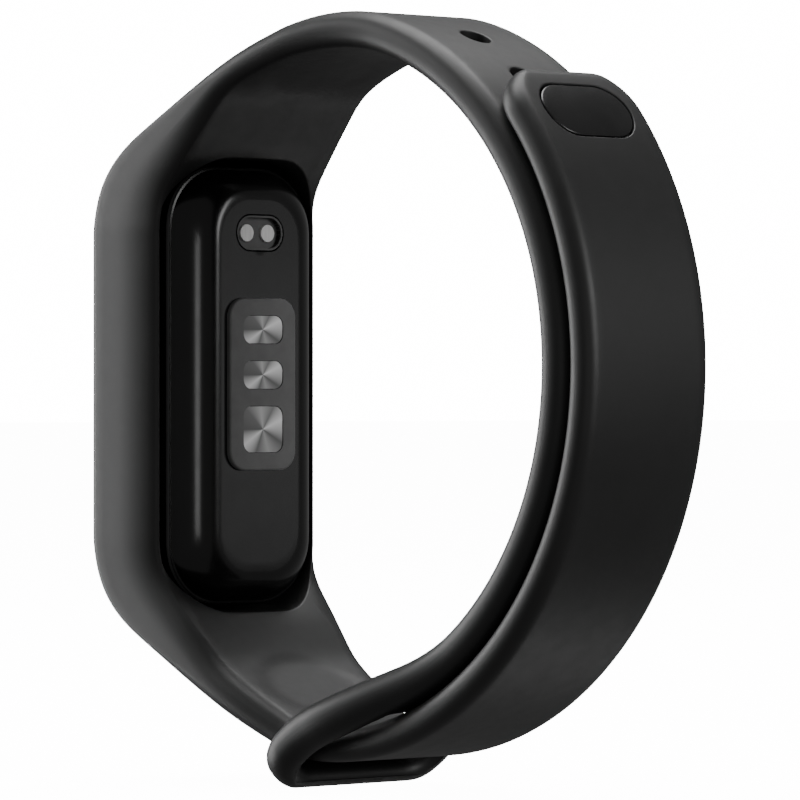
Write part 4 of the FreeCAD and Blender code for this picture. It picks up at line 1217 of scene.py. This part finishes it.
def board_green():
    made = Finish("board_green", (0.01, 0.07, 0.03), 0.4)
    cells = made.add("ShaderNodeTexBrick")
    cells.inputs["Scale"].default_value = 700
    cells.inputs["Mortar Size"].default_value = 0.03
    cells.inputs["Color1"].default_value = (0.008, 0.06, 0.028, 1)
    cells.inputs["Color2"].default_value = (0.010, 0.075, 0.034, 1)
    cells.inputs["Mortar"].default_value = (0.03, 0.16, 0.07, 1)
    made.link(made.where, cells.inputs["Vector"])
    made.link(cells.outputs["Color"], made.shader.inputs["Base Color"])
    made.vary_roughness(made.noise(900, 3), 0.35, 0.5)
    made.bump(cells.outputs["Fac"], 0.1, 0.00002)
    return made.material


def flex_amber():
    made = Finish("flex_amber", (0.35, 0.13, 0.02), 0.35)
    waves = made.add("ShaderNodeTexWave", bands_direction="Y")
    waves.inputs["Scale"].default_value = 1100
    waves.inputs["Distortion"].default_value = 0.4
    made.link(made.where, waves.inputs["Vector"])
    made.vary_colour(waves.outputs["Fac"], (0.22, 0.08, 0.015), (0.45, 0.2, 0.04))
    made.vary_roughness(made.noise(700, 2), 0.3, 0.45)
    made.bump(waves.outputs["Fac"], 0.08, 0.00002)
    return made.material


def make_materials():
    made = {
        "silicone": silicone(), "gloss": gloss_black(), "stud": stud_gloss(), "glass": front_glass_finish(),
        "board": board_green(), "flex": flex_amber(),
        "island": matte("island_matte", grey(0.105), grey(0.12), 0.5, 7000),
        "foil_side": matte("foil_rim", grey(0.02), grey(0.03), 0.4),
        "contact": brushed("contact_metal", grey(0.7, 0.01), grey(0.85, 0.01), 0.45, (3000, 3000, 300), 0.0),
        "post": brushed("stud_steel", grey(0.42), grey(0.6), 0.3, (300, 4000, 300)),
        "shaft": brushed("shaft_steel", grey(0.5), grey(0.68), 0.22, (300, 6000, 300)),
        "can": brushed("can_metal", grey(0.45), grey(0.6), 0.3, (300, 5000, 900)),
        "weight": brushed("weight_metal", grey(0.2), grey(0.3), 0.42, (900, 900, 900)),
        "port": matte("port_plastic", grey(0.07), grey(0.085), 0.42),
        "seal": matte("seal_rubber", grey(0.006), grey(0.01), 0.7),
        "adhesive": matte("adhesive_film", grey(0.02), grey(0.03), 0.6),
        "display": matte("display_black", (0.01, 0.011, 0.014), (0.014, 0.015, 0.02), 0.15),
        "frame": matte("frame_plastic", grey(0.03), grey(0.04), 0.5),
        "battery": matte("battery_wrap", grey(0.42, 0.02), grey(0.55, 0.02), 0.35, 1500, 0.7, 0.2),
        "foam": matte("battery_foam", grey(0.03), grey(0.06), 0.95, 2500, 0.0, 0.6),
        "chip": matte("chip_black", grey(0.012), grey(0.02), 0.45),
        "passive": matte("passive_parts", (0.16, 0.11, 0.07), (0.24, 0.17, 0.11), 0.4, 3000),
        "led": matte("led_white", grey(0.6), grey(0.75), 0.4),
    }
    return made


NODE_FINISHES = {
    "board": ("main_board", "battery_board", "sensor_board"),
    "flex": ("display_flex", "sensor_flex", "antenna"),
    "chip": ("radio_chip", "memory_chip", "power_chip", "motion_sensor", "photodiode", "board_connector"),
    "can": ("motor_can", "clock_crystal"),
    "shaft": ("motor_shaft",),
    "weight": ("motor_weight",),
    "foam": ("motor_pad", "battery_foam"),
    "battery": ("battery",),
    "display": ("display_panel", "touch_film"),
    "frame": ("mid_frame", "light_barrier"),
    "adhesive": ("glass_adhesive",),
    "led": ("green_led_upper", "green_led_middle"),
    "island": ("sensor_island",),
    "port": ("charge_insert",),
    "seal": ("port_seal",),
    "contact": ("contact_left", "contact_right"),
    "post": ("stud_post",),
}


def dress_nodes(finishes):
    for finish, names in NODE_FINISHES.items():
        for name in names:
            dress(nodes[name], finishes[finish])
    for name in ("window_upper", "window_middle", "window_lower"):
        low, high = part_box(name)
        dress(nodes[name], window_foil_painted_sheen(name + "_foil", (low + high) / 2))


def dress(piece, material):
    piece.data.materials.clear()
    piece.data.materials.append(material)


# ---------------------------------------------------------------------------
# Studio
# ---------------------------------------------------------------------------

def add_light(name, place, target, width, height, power):
    data = bpy.data.lights.new(name, "AREA")
    data.shape = "RECTANGLE"
    data.size, data.size_y = width, height
    data.energy = power
    light = bpy.data.objects.new(name, data)
    light.location = place
    aim = Vector(target) - Vector(place)
    light.rotation_mode = "QUATERNION"
    light.rotation_quaternion = aim.to_track_quat("-Z", "Y")
    bpy.context.scene.collection.objects.link(light)
    return light


def make_studio():
    floor_mesh = bpy.data.meshes.new("studio_floor")
    reach, level = 6.0, cad_low.z - 0.0002
    corners = [(-reach, -reach, level), (reach, -reach, level), (reach, reach, level), (-reach, reach, level)]
    floor_mesh.from_pydata(corners, [], [(0, 1, 2, 3)])
    floor = bpy.data.objects.new("studio_floor", floor_mesh)
    bpy.context.scene.collection.objects.link(floor)
    made = Finish("studio_floor", grey(0.86), 0.9)
    made.shader.inputs["Emission Color"].default_value = (1, 1, 1, 1)
    made.shader.inputs["Emission Strength"].default_value = 14.0
    dress(floor, made.material)
    floor.visible_diffuse = False
    floor.visible_glossy = False
    floor.visible_shadow = False
    world = bpy.data.worlds.new("studio")
    bpy.context.scene.world = world
    world.use_nodes = True
    tree = world.node_tree
    back = tree.nodes["Background"]
    back.inputs["Color"].default_value = (1, 1, 1, 1)
    ray = tree.nodes.new("ShaderNodeLightPath")
    level_node = tree.nodes.new("ShaderNodeMapRange")
    level_node.inputs["To Min"].default_value = 0.17
    level_node.inputs["To Max"].default_value = 16.0
    tree.links.new(ray.outputs["Is Camera Ray"], level_node.inputs["Value"])
    tree.links.new(level_node.outputs["Result"], back.inputs["Strength"])
    centre = (0, 0, 0)
    add_light("top_soft", (-0.15, 0.05, 0.58), centre, 0.7, 0.35, 6.0)
    add_light("upper_left", (-0.5, -0.6, 0.4), centre, 0.4, 0.4, 1.5)
    add_light("side_soft", (-0.9, -0.3, 0.05), centre, 0.4, 0.8, 6.8)
    add_light("near_fill", (0.85, 0.2, 0.25), centre, 0.4, 0.4, 3.9)
    add_light("field_glow", (0.743, 0.669, 0.0), (-0.019, 0, 0), 0.25, 0.1, 0.07)
    add_light("stripe_glow", (0.70, -0.716, 0.0), (-0.02, 0, 0), 0.2, 0.1, 0.3)
    add_light("back_low", (0.0, 0.6, -0.66), (-0.02, 0, -0.018), 0.2, 0.2, 0.3)


def make_camera():
    """Level with the band's middle, square-on to its picture, 48 degrees round from its side view."""
    distance, swing, height = 0.460, math.radians(48), -0.00132
    data = bpy.data.cameras.new("camera")
    data.lens, data.sensor_width = 235.6, 36.0
    data.clip_start, data.clip_end = 0.01, 20.0
    camera = bpy.data.objects.new("camera", data)
    away = Vector((math.sin(swing), -math.cos(swing), 0))
    camera.location = away * distance + Vector((0, 0, height))
    camera.rotation_mode = "QUATERNION"
    camera.rotation_quaternion = (-away).to_track_quat("-Z", "Y")
    bpy.context.scene.collection.objects.link(camera)
    bpy.context.scene.camera = camera


# ---------------------------------------------------------------------------
# Putting it together
# ---------------------------------------------------------------------------

finishes = make_materials()
dress_nodes(finishes)

band = make_band(finishes["silicone"])
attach(band, "band")
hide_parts("cradle", "strap_hole_side")

strap = make_stud_strap(finishes["silicone"])
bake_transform(strap)
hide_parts("strap_stud_side", "strap_tail")

shell = make_housing(finishes["gloss"])
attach(shell, "capsule")
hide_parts("capsule_housing")

glass = make_glass(finishes["glass"])
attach(glass, "capsule")
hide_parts("cover_glass")

passives = make_passives(finishes["passive"])
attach(passives, "capsule")

button = make_cap(finishes["stud"])
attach(button, "tail")
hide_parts("stud_cap")

make_studio()
make_camera()
